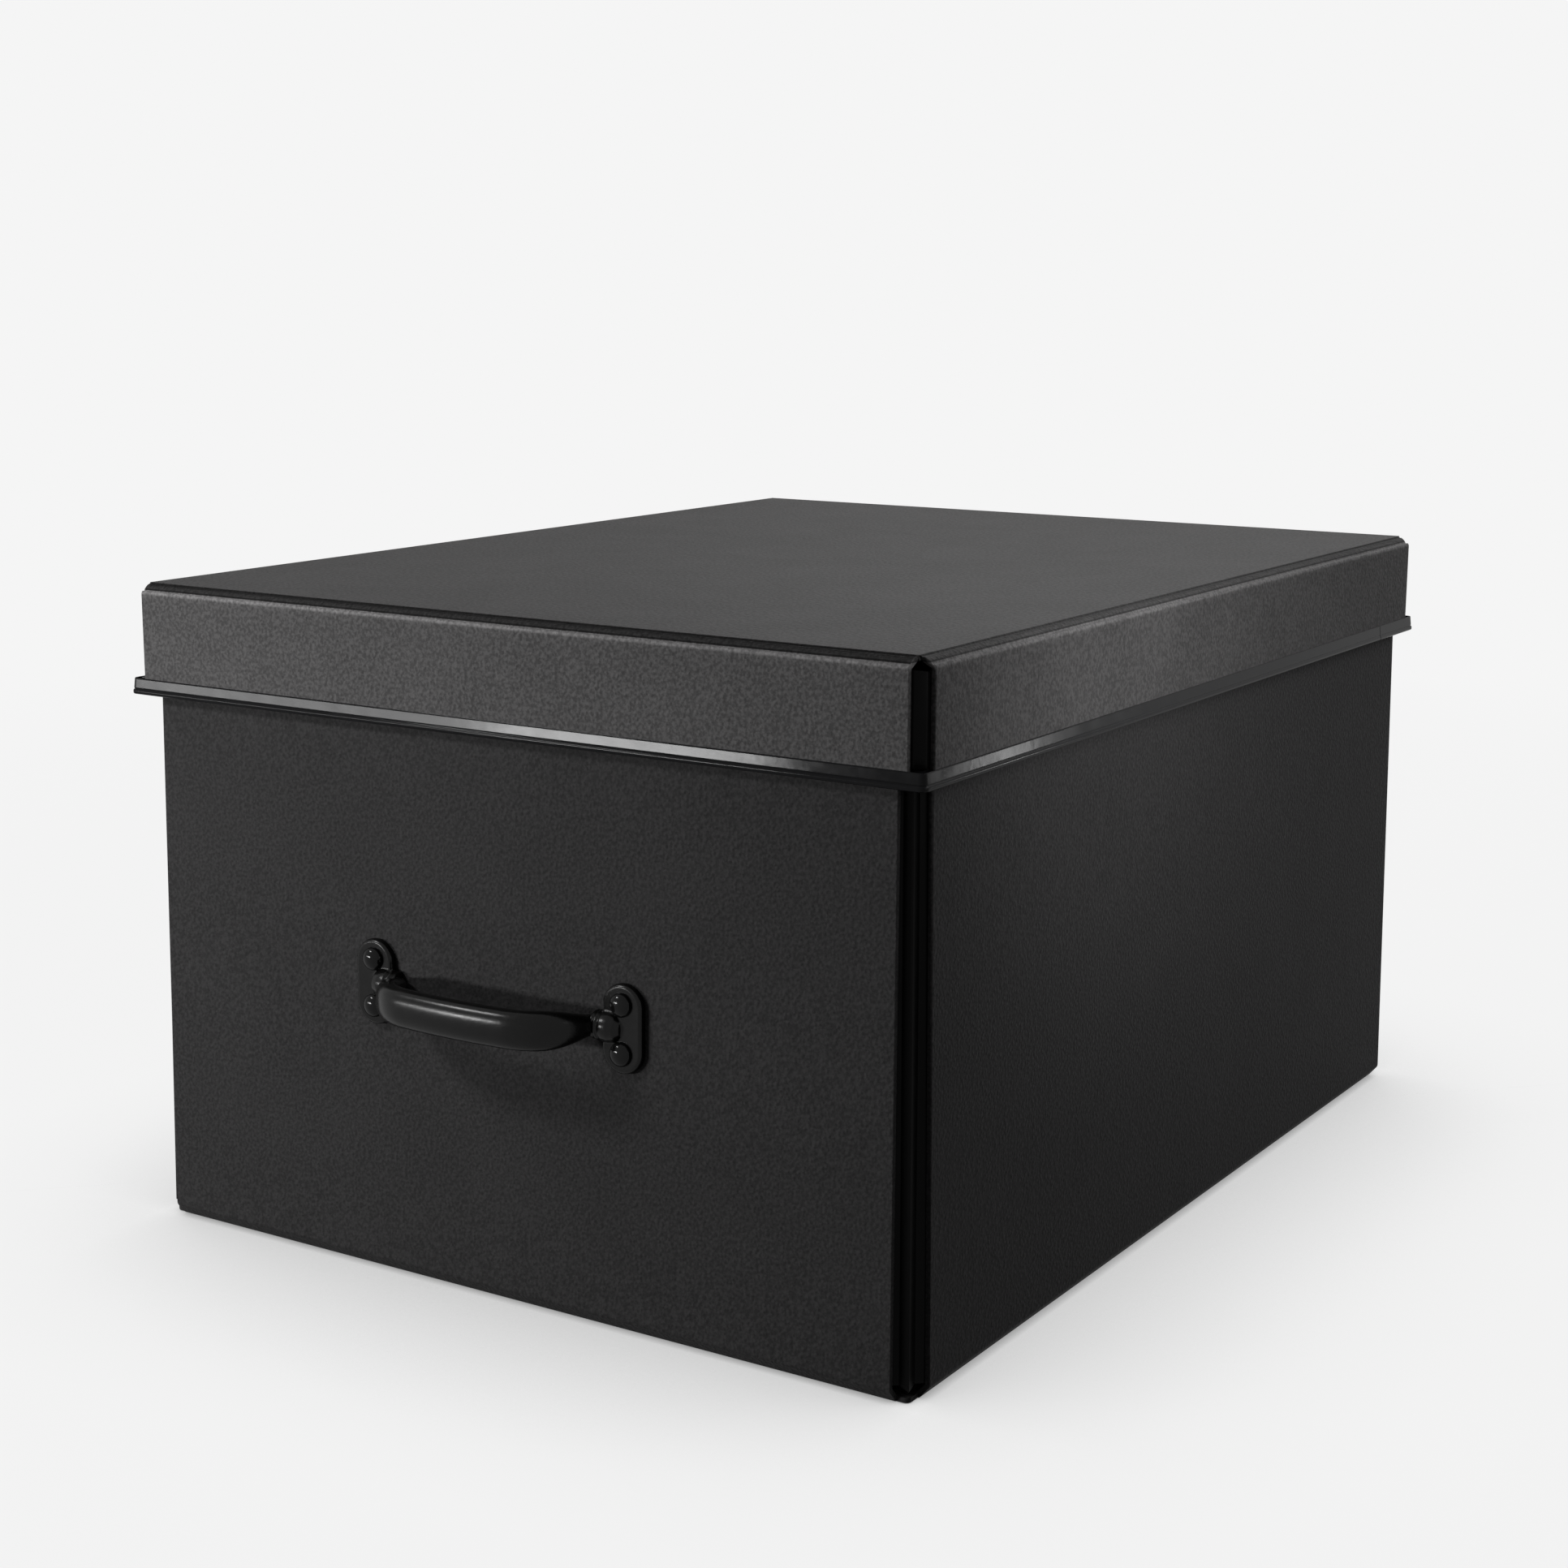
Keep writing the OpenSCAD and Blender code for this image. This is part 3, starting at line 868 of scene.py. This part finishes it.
@dataclass
class CornerStrip:
    """A drawn plastic strip behind the four open corners of the body or of the lid."""

    prefix: str
    section: Sequence[Point2]
    foot: float
    head: float
    width: float
    depth: float
    lean: float = 0.0
    leg_lift: float = 0.0
    head_cut: float = 0.0
    edge_r: float = 0.2
    nose_reach: float = 9.0
    ends: tuple[str, ...] = ("front_left", "front_right", "back_right", "back_left")

    def corner(self, index: int) -> Matrix:
        """Places a strip in a corner: x and y run inwards along the two walls."""
        x = (-1 if index in (0, 3) else 1) * self.width / 2 * MM
        y = (-1 if index < 2 else 1) * self.depth / 2 * MM
        return Matrix.Translation((x, y, 0.0)) @ Matrix.Rotation(index * math.pi / 2, 4, "Z")

    def build_one(self) -> Piece:
        """Draws the section up from foot to head, cuts its ends and rounds its edges."""
        obj = outline(self.prefix, [(x * MM, y * MM, self.foot * MM) for x, y in self.section])
        with editing(obj, whole=True):
            extrude((0.0, 0.0, (self.head - self.foot) * MM))
        close_up(obj)
        with editing(obj):
            low = (self.foot + 1) * MM
            choose(obj, "verts", lambda v: v.co.z < low and max(v.co.xy) > self.nose_reach * MM)
            bpy.ops.transform.translate(value=(0.0, 0.0, self.leg_lift * MM))
        if self.head_cut:
            with editing(obj, whole=True):
                bpy.ops.mesh.bisect(
                    plane_co=(4.0 * MM, 6.0 * MM, (self.head - 0.2) * MM),
                    plane_no=(self.head_cut, -self.head_cut * 0.35, 1.0),
                    use_fill=True,
                    clear_outer=True,
                )
        edges = {"limit_method": "ANGLE", "angle_limit": math.radians(30)}
        modify(obj, "BEVEL", width=self.edge_r * MM, segments=2, **edges)
        if self.lean:
            tilt = math.radians(self.lean) * math.sqrt(2)
            place(obj, Matrix.Rotation(tilt, 4, Vector((-1, 1, 0))))
        smooth(obj, 40)
        return obj

    def build(self) -> list[Piece]:
        """Builds one strip and copies it into the four corners.

        Returns:
            The strips, in the order of their ends.
        """
        first = self.build_one()
        strips = [
            copy_of(first, f"{self.prefix}_{end}", self.corner(index))
            for index, end in enumerate(self.ends)
        ]
        bpy.data.objects.remove(first)
        return strips


def strip_section(outer: Sequence[Point2], inner: Sequence[Point2], corner: bool) -> list[Point2]:
    """Mirrors one leg's outlines about the corner's diagonal into a whole section.

    Args:
        outer: Points of the outer side, from the leg's end to the corner.
        inner: Points of the inner side, from the leg's end to the corner.
        corner: Whether the last points lie on the diagonal and so count once.

    Returns:
        The closed section.
    """
    cut = -1 if corner else None
    far_outer = [(y, x) for x, y in outer[:cut]][::-1]
    far_inner = [(y, x) for x, y in inner[:cut]]
    return [*outer, *far_outer, *far_inner, *list(inner)[::-1]]


# ---- rims ----


@dataclass
class LidRim:
    """The channel along the foot of the lid: one length bent round four corners, with a joint."""

    sizes: BoxSizes
    bend_in: float = 1.95
    seam_in: float = 47.0
    seam_w: float = 0.45
    web_in: float = 1.7
    leg_in: float = 2.35

    def section(self) -> list[Point2]:
        """Gives the channel's outer half as (outwards from the skirt, up from the rim's foot)."""
        return [
            (-1.75, 0.0), (0.55, 0.0), (0.85, 0.08), (1.08, 0.3), (1.18, 0.7), (1.18, 1.35),
            (1.06, 1.8), (0.82, 2.08), (0.62, 2.18), (0.55, 2.3), (0.58, 2.45), (0.74, 2.6),
            (0.74, 2.8), (0.72, 3.0), (0.345, 6.4), (0.32, 6.6), (0.26, 6.85), (0.18, 6.98),
            (0.05, 7.0), (0.05, 0.5), (-1.75, 0.5),
        ]

    def build(self) -> Piece:
        """Bends the channel round the lid from one side of its joint to the other.

        Returns:
            The rim, with its inner leg.
        """
        s = self.sizes
        x, y, c = s.lid_w / 2, s.lid_d / 2, self.bend_in
        start = y - self.seam_in + self.seam_w
        ring = [((x + d) * MM, start * MM, (s.lid_foot + z) * MM) for d, z in self.section()]
        rim = outline("lid_rim_channel", ring)
        runs = [
            ((0, y - c - start), (x - c, y - c)),
            ((-2 * (x - c), 0), (-x + c, y - c)),
            ((0, -2 * (y - c)), (-x + c, -y + c)),
            ((2 * (x - c), 0), (x - c, -y + c)),
            ((0, (y - self.seam_in) - (-y + c)), None),
        ]
        with editing(rim, whole=True):
            for (dx, dy), centre in runs:
                for share in (0.01, 0.98, 0.01):
                    extrude((share * dx * MM, share * dy * MM, 0.0))
                if centre:
                    middle = (centre[0] * MM, centre[1] * MM, 0.0)
                    bpy.ops.mesh.spin(steps=8, angle=-math.pi / 2, center=middle, axis=(0, 0, 1))
        close_up(rim)
        obj = join("lid_rim_channel", [rim, self.inner_leg()])
        smooth(obj, 30, flats=True)
        return obj

    def inner_leg(self) -> Piece:
        """Builds the leg behind the skirts and the web that joins it, as a square frame."""
        s = self.sizes
        clear_selection()
        bpy.ops.mesh.primitive_plane_add(size=1.0)
        leg = bpy.context.active_object
        leg.scale = ((s.lid_w - 2 * self.web_in) * MM, (s.lid_d - 2 * self.web_in) * MM, 1.0)
        leg.location = (0.0, 0.0, (s.lid_foot + 0.01) * MM)
        place(leg, Matrix.Identity(4))
        with editing(leg, whole=True):
            bpy.ops.mesh.inset(thickness=0.7 * MM)
            bpy.ops.mesh.inset(thickness=0.5 * MM)
            bpy.ops.mesh.delete(type="FACE")
            bpy.ops.mesh.select_all(action="SELECT")
            extrude((0.0, 0.0, 0.48 * MM))
            inner, web = (s.lid_w / 2 - self.leg_in) * MM, (s.lid_foot + 0.3) * MM
            choose(
                leg,
                "faces",
                lambda f: f.normal.z > 0.5
                and all(abs(v.co.x) < inner and v.co.z > web for v in f.verts),
            )
            extrude((0.0, 0.0, (s.rim_h - s.rim_t) * MM))
        close_up(leg)
        return leg


# ---- handles ----


@dataclass
class Handle:
    """A grip like a bow between two riveted plates, with sizes in millimetres."""

    name: str
    wall: Matrix
    span: float = 127.0
    plate_w: float = 19.0
    plate_h: float = 36.5
    plate_t: float = 3.4
    plate_bevel: float = 1.15
    pitch: float = 20.0
    boss_out: float = 1.8
    boss_reach: float = 13.5
    boss_len: float = 8.0
    neck_out: float = 4.8
    neck_r: float = 4.2
    neck_rise: float = 0.7
    neck_pull: float = 3.6
    shoulder_pull: float = 3.0
    shoulder_drop: float = 1.2
    crown_out: float = 28.8
    crown_half: float = 22.0
    crown_sag: float = 0.9
    crown_share: float = 0.3
    taper_from: float = 0.5
    taper_share: float = 0.47
    half_h: float = 8.0
    half_t: float = 5.0
    stub_r: float = 2.2
    stub_len: float = 6.5
    head_r: float = 5.0
    head_h: float = 3.4
    shank_r: float = 2.0
    board_t: float = 2.3

    def bow(self, t: float) -> Vector:
        """Gives a point of the bow's middle line.

        Args:
            t: 0 at the crown and 1 at the boss.

        Returns:
            (along, outwards) in millimetres.
        """
        crown, flat, out = self.crown_half, self.crown_share, self.crown_out
        if t < flat:
            return Vector((crown * t / flat, out - self.crown_sag * (t / flat) ** 2))
        end = self.span / 2 - self.boss_reach - 0.1
        u = (t - flat) / (1.0 - flat)
        pulls = [
            Vector((crown, out - self.crown_sag)),
            Vector((end - self.shoulder_pull, out - self.shoulder_drop)),
            Vector((end - self.neck_pull, self.neck_out + self.neck_rise)),
            Vector((end, self.neck_out)),
        ]
        weights = [(1 - u) ** 3, 3 * u * (1 - u) ** 2, 3 * u * u * (1 - u), u**3]
        return sum((p * w for p, w in zip(pulls, weights)), Vector((0.0, 0.0)))

    def station(self, t: float) -> Matrix:
        """Gives the section's frame at a signed share of the bow.

        Args:
            t: -1 at the left boss, 0 at the crown and 1 at the right boss.

        Returns:
            Columns: the section's thickness, height and way along, and its middle.
        """
        share, hand = abs(t), (1 if t >= 0 else -1)
        middle = self.bow(share)
        step = 0.01
        way = self.bow(min(1.0, share + step)) - self.bow(max(0.0, share - step))
        way = Vector((1.0, 0.0)) if share > 1.0 - step else way.normalized()
        narrow = min(1.0, max(0.0, (share - self.taper_from) / self.taper_share))
        narrow = narrow * narrow * (3 - 2 * narrow)
        thick = self.half_t + (self.neck_r - self.half_t) * narrow
        tall = self.half_h + (self.neck_r - self.half_h) * narrow
        along = Vector((way.x, -hand * way.y, 0.0))
        out = Vector((along.y, -along.x, 0.0))
        matrix = Matrix.Identity(4)
        matrix.col[0].xyz = out * thick * MM
        matrix.col[1].xyz = Vector((0, 0, 1)) * tall * MM
        matrix.col[2].xyz = along * MM
        matrix.col[3].xyz = Vector((hand * middle.x, -middle.y, 0.0)) * MM
        return matrix

    def build_grip(self) -> Piece:
        """Draws the grip's rounded section along the bow from boss to boss."""
        sides, power, half = 36, 2 / 2.45, 30
        unit = []
        for k in range(sides):
            a = math.tau * k / sides
            n, z = math.cos(a), math.sin(a)
            corner = (math.copysign(abs(n) ** power, n), math.copysign(abs(z) ** power, z), 0.0)
            unit.append(Vector(corner))
        steps = range(-half, half + 1)
        shares = [0.5 * (i / half) + 0.5 * math.sin(math.pi / 2 * i / half) for i in steps]
        before = self.station(shares[0])
        grip = outline(f"{self.name}_grip_bow", [tuple(before @ point) for point in unit])
        with editing(grip, whole=True):
            for share in shares[1:]:
                after = self.station(share)
                extrude((0.0, 0.0, 0.0))
                carry(grip, after @ before.inverted())
                before = after
        close_up(grip)
        pins = []
        for hand in (-1, 1):
            clear_selection()
            along = hand * (self.span / 2 - self.boss_reach + 2.65) * MM
            bpy.ops.mesh.primitive_cylinder_add(
                vertices=24,
                radius=self.stub_r * MM,
                depth=self.stub_len * MM,
                location=(along, -self.neck_out * MM, 0.0),
                rotation=(0.0, math.pi / 2, 0.0),
            )
            pins.append(bpy.context.active_object)
            place(pins[-1], Matrix.Identity(4))
        obj = join(f"{self.name}_grip_bow", [grip, *pins])
        smooth(obj, 50)
        place(obj, self.wall)
        return obj

    def build_plate(self, hand: int, label: str) -> Piece:
        """Builds a plate with its boss and collars, blended as a pressed and painted part.

        Args:
            hand: 1 for the plate whose boss faces +X, -1 for the other.
            label: left or right.

        Returns:
            The plate.
        """
        r, end, steps = self.plate_w / 2, self.plate_h / 2 - self.plate_w / 2, 48
        points = []
        for k in range(steps):
            a = math.tau * (k + 0.5) / steps
            z = r * math.sin(a) + math.copysign(end, math.sin(a))
            points.append((r * math.cos(a) * MM, 0.0, z * MM))
        plate = outline("plate", points)
        with editing(plate, whole=True):
            extrude((0.0, -self.plate_t * MM, 0.0))
        close_up(plate)
        face = -0.9 * self.plate_t * MM
        with editing(plate):
            choose(plate, "edges", lambda e: all(v.co.y < face for v in e.verts))
            bevel(self.plate_bevel, profile=0.4)
        start = self.boss_reach - self.boss_len
        turned = (
            (0.0, -6.2), (3.4, -5.4), (5.5, -3.4), (6.35, -0.6), (6.5, 1.0), (6.45, 2.6),
            (6.0, 3.1), (5.75, 3.45), (6.0, 3.8), (6.4, 4.3), (6.4, 5.0), (5.9, 5.5),
            (5.55, 5.8), (5.75, 6.15), (6.0, 6.6), (5.95, 7.3), (5.4, 7.8), (4.7, 8.0), (0.0, 8.0),
        )
        boss = lathe("boss", [(radius, start + along) for radius, along in turned])
        lift = Matrix.Translation((0, -self.boss_out * MM, 0))
        place(boss, lift @ Matrix.Rotation(math.pi / 2, 4, "Y"))
        with editing(boss, whole=True):
            bpy.ops.mesh.bisect(
                plane_co=(0, 0, 0), plane_no=(0, 1, 0), use_fill=True, clear_outer=True
            )
        close_up(boss)
        obj = join(f"{self.name}_plate_casting_{label}", [plate, boss])
        modify(obj, "REMESH", mode="VOXEL", voxel_size=0.3 * MM, adaptivity=0.0)
        modify(obj, "SMOOTH", factor=0.5, iterations=4)
        if hand < 0:
            place(obj, Matrix.Rotation(math.pi, 4, "Y"))
        smooth(obj, 60)
        place(obj, self.wall @ Matrix.Translation((-hand * self.span / 2 * MM, 0.0, 0.0)))
        return obj

    def build_rivets(self) -> Piece:
        """Turns one rivet, with its dome, shank and formed tail, and copies it to four holes."""
        r, t, back, lip = self.head_r, self.plate_t, self.board_t + 0.8, 0.35
        dome = [
            (r * math.sin(a), t + lip + (self.head_h - lip) * math.cos(a))
            for a in (math.radians(d) for d in range(9, 91, 9))
        ]
        profile = [
            (0.0, t + self.head_h), *dome, (r, t + 0.12), (r - 0.15, t), (self.shank_r, t),
            (self.shank_r, -back), (3.5, -back), (3.6, -back - 0.2), (3.1, -back - 1.15),
            (2.5, -back - 1.4), (0.0, -back - 1.4),
        ]
        first = lathe("rivet", profile, 48)
        place(first, Matrix.Rotation(math.pi / 2, 4, "X"))
        rivets = []
        for x in (-1, 1):
            for z in (-1, 1):
                at = Matrix.Translation((x * self.span / 2 * MM, 0.0, z * self.pitch / 2 * MM))
                rivets.append(copy_of(first, f"rivet_{x}_{z}", self.wall @ at))
        bpy.data.objects.remove(first)
        obj = join(f"{self.name}_rivet_set", rivets)
        smooth(obj, 50)
        return obj


# ---- studio ----


@dataclass
class SoftLamp:
    """A rectangular softbox that faces the box."""

    name: str
    at: Point3
    size: Point2
    watts: float
    aim: Point3 = (0.0, 0.0, 0.14)
    spread: float = 180.0

    def build(self) -> None:
        """Adds the lamp and turns it to its aim."""
        data = bpy.data.lights.new(self.name, "AREA")
        data.shape = "RECTANGLE"
        data.size, data.size_y = self.size
        data.energy = self.watts
        data.spread = math.radians(self.spread)
        lamp = bpy.data.objects.new(self.name, data)
        lamp.location = self.at
        lamp.visible_camera = False
        way = Vector(self.aim) - Vector(self.at)
        lamp.rotation_euler = way.to_track_quat("-Z", "Y").to_euler()
        bpy.context.scene.collection.objects.link(lamp)


@dataclass
class Studio:
    """Pale floor and backdrop, softboxes and the camera."""

    backdrop: float = 0.913
    floor_tone: float = 0.22
    fill: float = 0.05
    shadow: float = 0.045
    camera_at: Point3 = (0.64939, -1.06002, 0.42445)
    azimuth: float = 32.425
    elevation: float = 11.282
    roll: float = 0.227
    lens: float = 60.515

    def camera(self) -> None:
        """Stands the camera where the photograph was taken from."""
        az, el, roll = (math.radians(v) for v in (self.azimuth, self.elevation, self.roll))
        raised = Matrix.Rotation(az, 4, "Z") @ Matrix.Rotation(math.pi / 2 - el, 4, "X")
        matrix = Matrix.Translation(self.camera_at) @ raised @ Matrix.Rotation(roll, 4, "Z")
        data = bpy.data.cameras.new("camera")
        data.sensor_width = 36.0
        data.lens = self.lens
        data.clip_end = 100.0
        camera = bpy.data.objects.new("camera", data)
        camera.matrix_world = matrix
        bpy.context.scene.collection.objects.link(camera)
        bpy.context.scene.camera = camera

    def world(self) -> None:
        """Gives the camera and reflections a pale backdrop, and the box a dimmer fill."""
        world = bpy.data.worlds.new("studio")
        bpy.context.scene.world = world
        nodes = Nodes(world)
        world.node_tree.nodes.clear()
        pale = nodes.out("Background", Color=grey(self.backdrop))
        fill = nodes.out("Background", Color=grey(1.0), Strength=self.fill)
        nodes.add("OutputWorld", nodes.seen(fill, pale))

    def floor(self) -> None:
        """Lays a pale glowing floor, with a painted contact shadow from ambient occlusion round the
        box and a small share of real lit shading near it, that meets the backdrop with no edge.
        """
        clear_selection()
        bpy.ops.mesh.primitive_plane_add(size=80.0, location=(0.0, 0.0, -0.0002))
        floor = bpy.context.active_object
        floor.name = "studio_floor"
        material = bpy.data.materials.new("floor_paper")
        nodes = Nodes(material)
        material.node_tree.nodes.clear()
        # Painted contact shadow: ambient occlusion darkens the floor's glow round the box.
        near = nodes.add("AmbientOcclusion", Distance=0.16, samples=8).outputs["AO"]
        painted_contact_shadow = nodes.ramp(near, [(0.0, 0.25), (0.5, 0.72), (0.85, 0.97), (1.0, 1.0)])
        glow = nodes.out("Emission", painted_contact_shadow, Strength=self.backdrop)
        lit = nodes.out("BsdfDiffuse", Color=grey(self.backdrop))
        spot = nodes.add("TexCoord").outputs["Object"]
        reach = nodes.add("VectorMath", spot, operation="LENGTH").outputs["Value"]
        fade = nodes.out(
            "MapRange", reach, To_Min=self.shadow, To_Max=0.0, From_Min=0.4, From_Max=1.6
        )
        paper = nodes.out("BsdfDiffuse", Color=grey(self.floor_tone))
        shown = nodes.out("MixShader", fade, glow, lit)
        nodes.add("OutputMaterial", nodes.seen(paper, shown))
        floor.data.materials.append(material)

    def build(self) -> None:
        """Sets up the whole studio."""
        self.camera()
        self.world()
        self.floor()
        for name, at, size, watts, *more in (
            ("soft_left", (-0.42, -0.68, 0.62), (0.18, 0.1), 2.45),
            ("soft_right", (0.71, 0.26, 0.8), (0.5, 0.5), 2.5),
            ("soft_back", (-0.13, 0.74, 0.9), (0.8, 0.5), 4.5),
            ("card_left", (-1.225, -1.456, 0.235), (0.55, 0.1), 6.0, (-1.225, 0.0, 0.235)),
            ("card_middle", (-0.785, -1.456, 0.235), (0.33, 0.1), 9.6, (-0.785, 0.0, 0.235)),
            ("card_right", (0.945, 1.15, 0.12), (0.05, 0.14), 0.28, (0.197, -0.215, 0.24)),
            ("soft_corner", (0.6, -0.24, 0.34), (0.1, 0.1), 0.105, (0.197, -0.08, 0.28), 50.0),
        ):
            SoftLamp(name, at, size, watts, *more).build()
        bpy.context.scene.view_settings.view_transform = "Standard"


# ---- the whole box ----


@dataclass
class FileBox:
    """Builds and dresses every piece of the box."""

    sizes: BoxSizes = field(default_factory=BoxSizes)
    finishes: Finishes = field(default_factory=Finishes)

    def build_board(self) -> None:
        """Replaces the two boards with rounded, folded ones."""
        walls = ("body_base", *(f"body_wall_{side}" for side in SIDES))
        body, lid = BoardBody(self.sizes).build(), BoardLid(self.sizes).build()
        hand_in(body, "box", Slot.BOARD.value, self.finishes.paper, *walls)
        hand_in(lid, "lid", Slot.BOARD.value, self.finishes.lid_paper_painted_lighter, "lid_board")

    def build_strips(self) -> None:
        """Replaces the corner strips of the body and of the lid."""
        s = self.sizes
        t, face, tail, bend = s.strip_t, s.board_t + s.strip_fit, s.strip_tail, s.strip_bend
        nose, jog = face + s.strip_setback, bend - s.strip_setback
        turn = t * math.tan(math.radians(22.5))
        back, cheek = face + t, nose + t
        body_section = strip_section(
            [(tail, face), (bend, face), (jog, nose), (nose, nose)],
            [(tail, back), (bend + turn, back), (jog + turn, cheek), (cheek, cheek)],
            True,
        )
        head = s.wall_top - s.rim_h + s.rim_t - s.rim_gap
        body = CornerStrip(
            "body_strip", body_section, 5.0, head, s.body_w, s.body_d, 0.72, leg_lift=2.0
        )
        flat = face + s.strip_flat
        lid_section = strip_section(
            [(tail, face), (flat, face)], [(tail, back), (flat + turn, back)], False
        )
        foot, top = s.lid_foot + s.rim_h + s.rim_gap, s.fold_line - 1.6
        lid = CornerStrip("lid_strip", lid_section, foot, top, s.lid_w, s.lid_d, head_cut=0.12)
        for ride, node, kind in (("box", "body_corner_", body), ("lid", "lid_corner_", lid)):
            for strip, end in zip(kind.build(), kind.ends):
                hand_in(strip, ride, Slot.STRIP.value, self.finishes.strip, node + end)

    def build_rims(self) -> None:
        """Replaces the lid's rim and lacquers the body's."""
        hand_in(LidRim(self.sizes).build(), "lid", Slot.RIM.value, self.finishes.rim, "lid_rim")
        for side in SIDES:
            self.dress(f"body_rim_{side}", self.finishes.rim)

    def build_handles(self) -> None:
        """Builds both handles on their leaning end walls."""
        s, f = self.sizes, self.finishes
        for side, name in ((0, "front"), (2, "back")):
            lean = Matrix.Rotation(-math.atan(s.lean), 4, "X")
            wall = s.side(side, s.body_d) @ lean @ Matrix.Translation((0.0, 0.0, s.handle_z * MM))
            handle = Handle(f"handle_{name}", wall)
            node = f"handle_{name}_"
            hand_in(handle.build_grip(), "box", Slot.HANDLE.value, f.paint, node + "grip")
            for hand, label in ((1, "left"), (-1, "right")):
                plate = handle.build_plate(hand, label)
                hand_in(plate, "box", Slot.HANDLE.value, f.paint, f"{node}plate_{label}")
            hand_in(handle.build_rivets(), "box", Slot.RIVET.value, f.rivet, node + "rivets")
            self.dress(node + "washers", f.zinc)

    def dress(self, node: str, material: Material) -> None:
        """Gives a CAD node that stays its material."""
        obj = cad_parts[node]
        if obj.material_slots:
            for slot in obj.material_slots:
                slot.material = material
        else:
            obj.data.materials.append(material)
        log.info("%s keeps its shape, with %s", node, material.name)

    def build(self) -> None:
        """Builds every sub-assembly in order."""
        self.build_board()
        self.build_strips()
        self.build_rims()
        self.build_handles()


def main() -> None:
    """Builds the studio and the box."""
    logging.basicConfig(level=logging.INFO, format="%(name)s: %(message)s")
    Studio().build()
    FileBox().build()


if __name__ == "__main__":
    main()
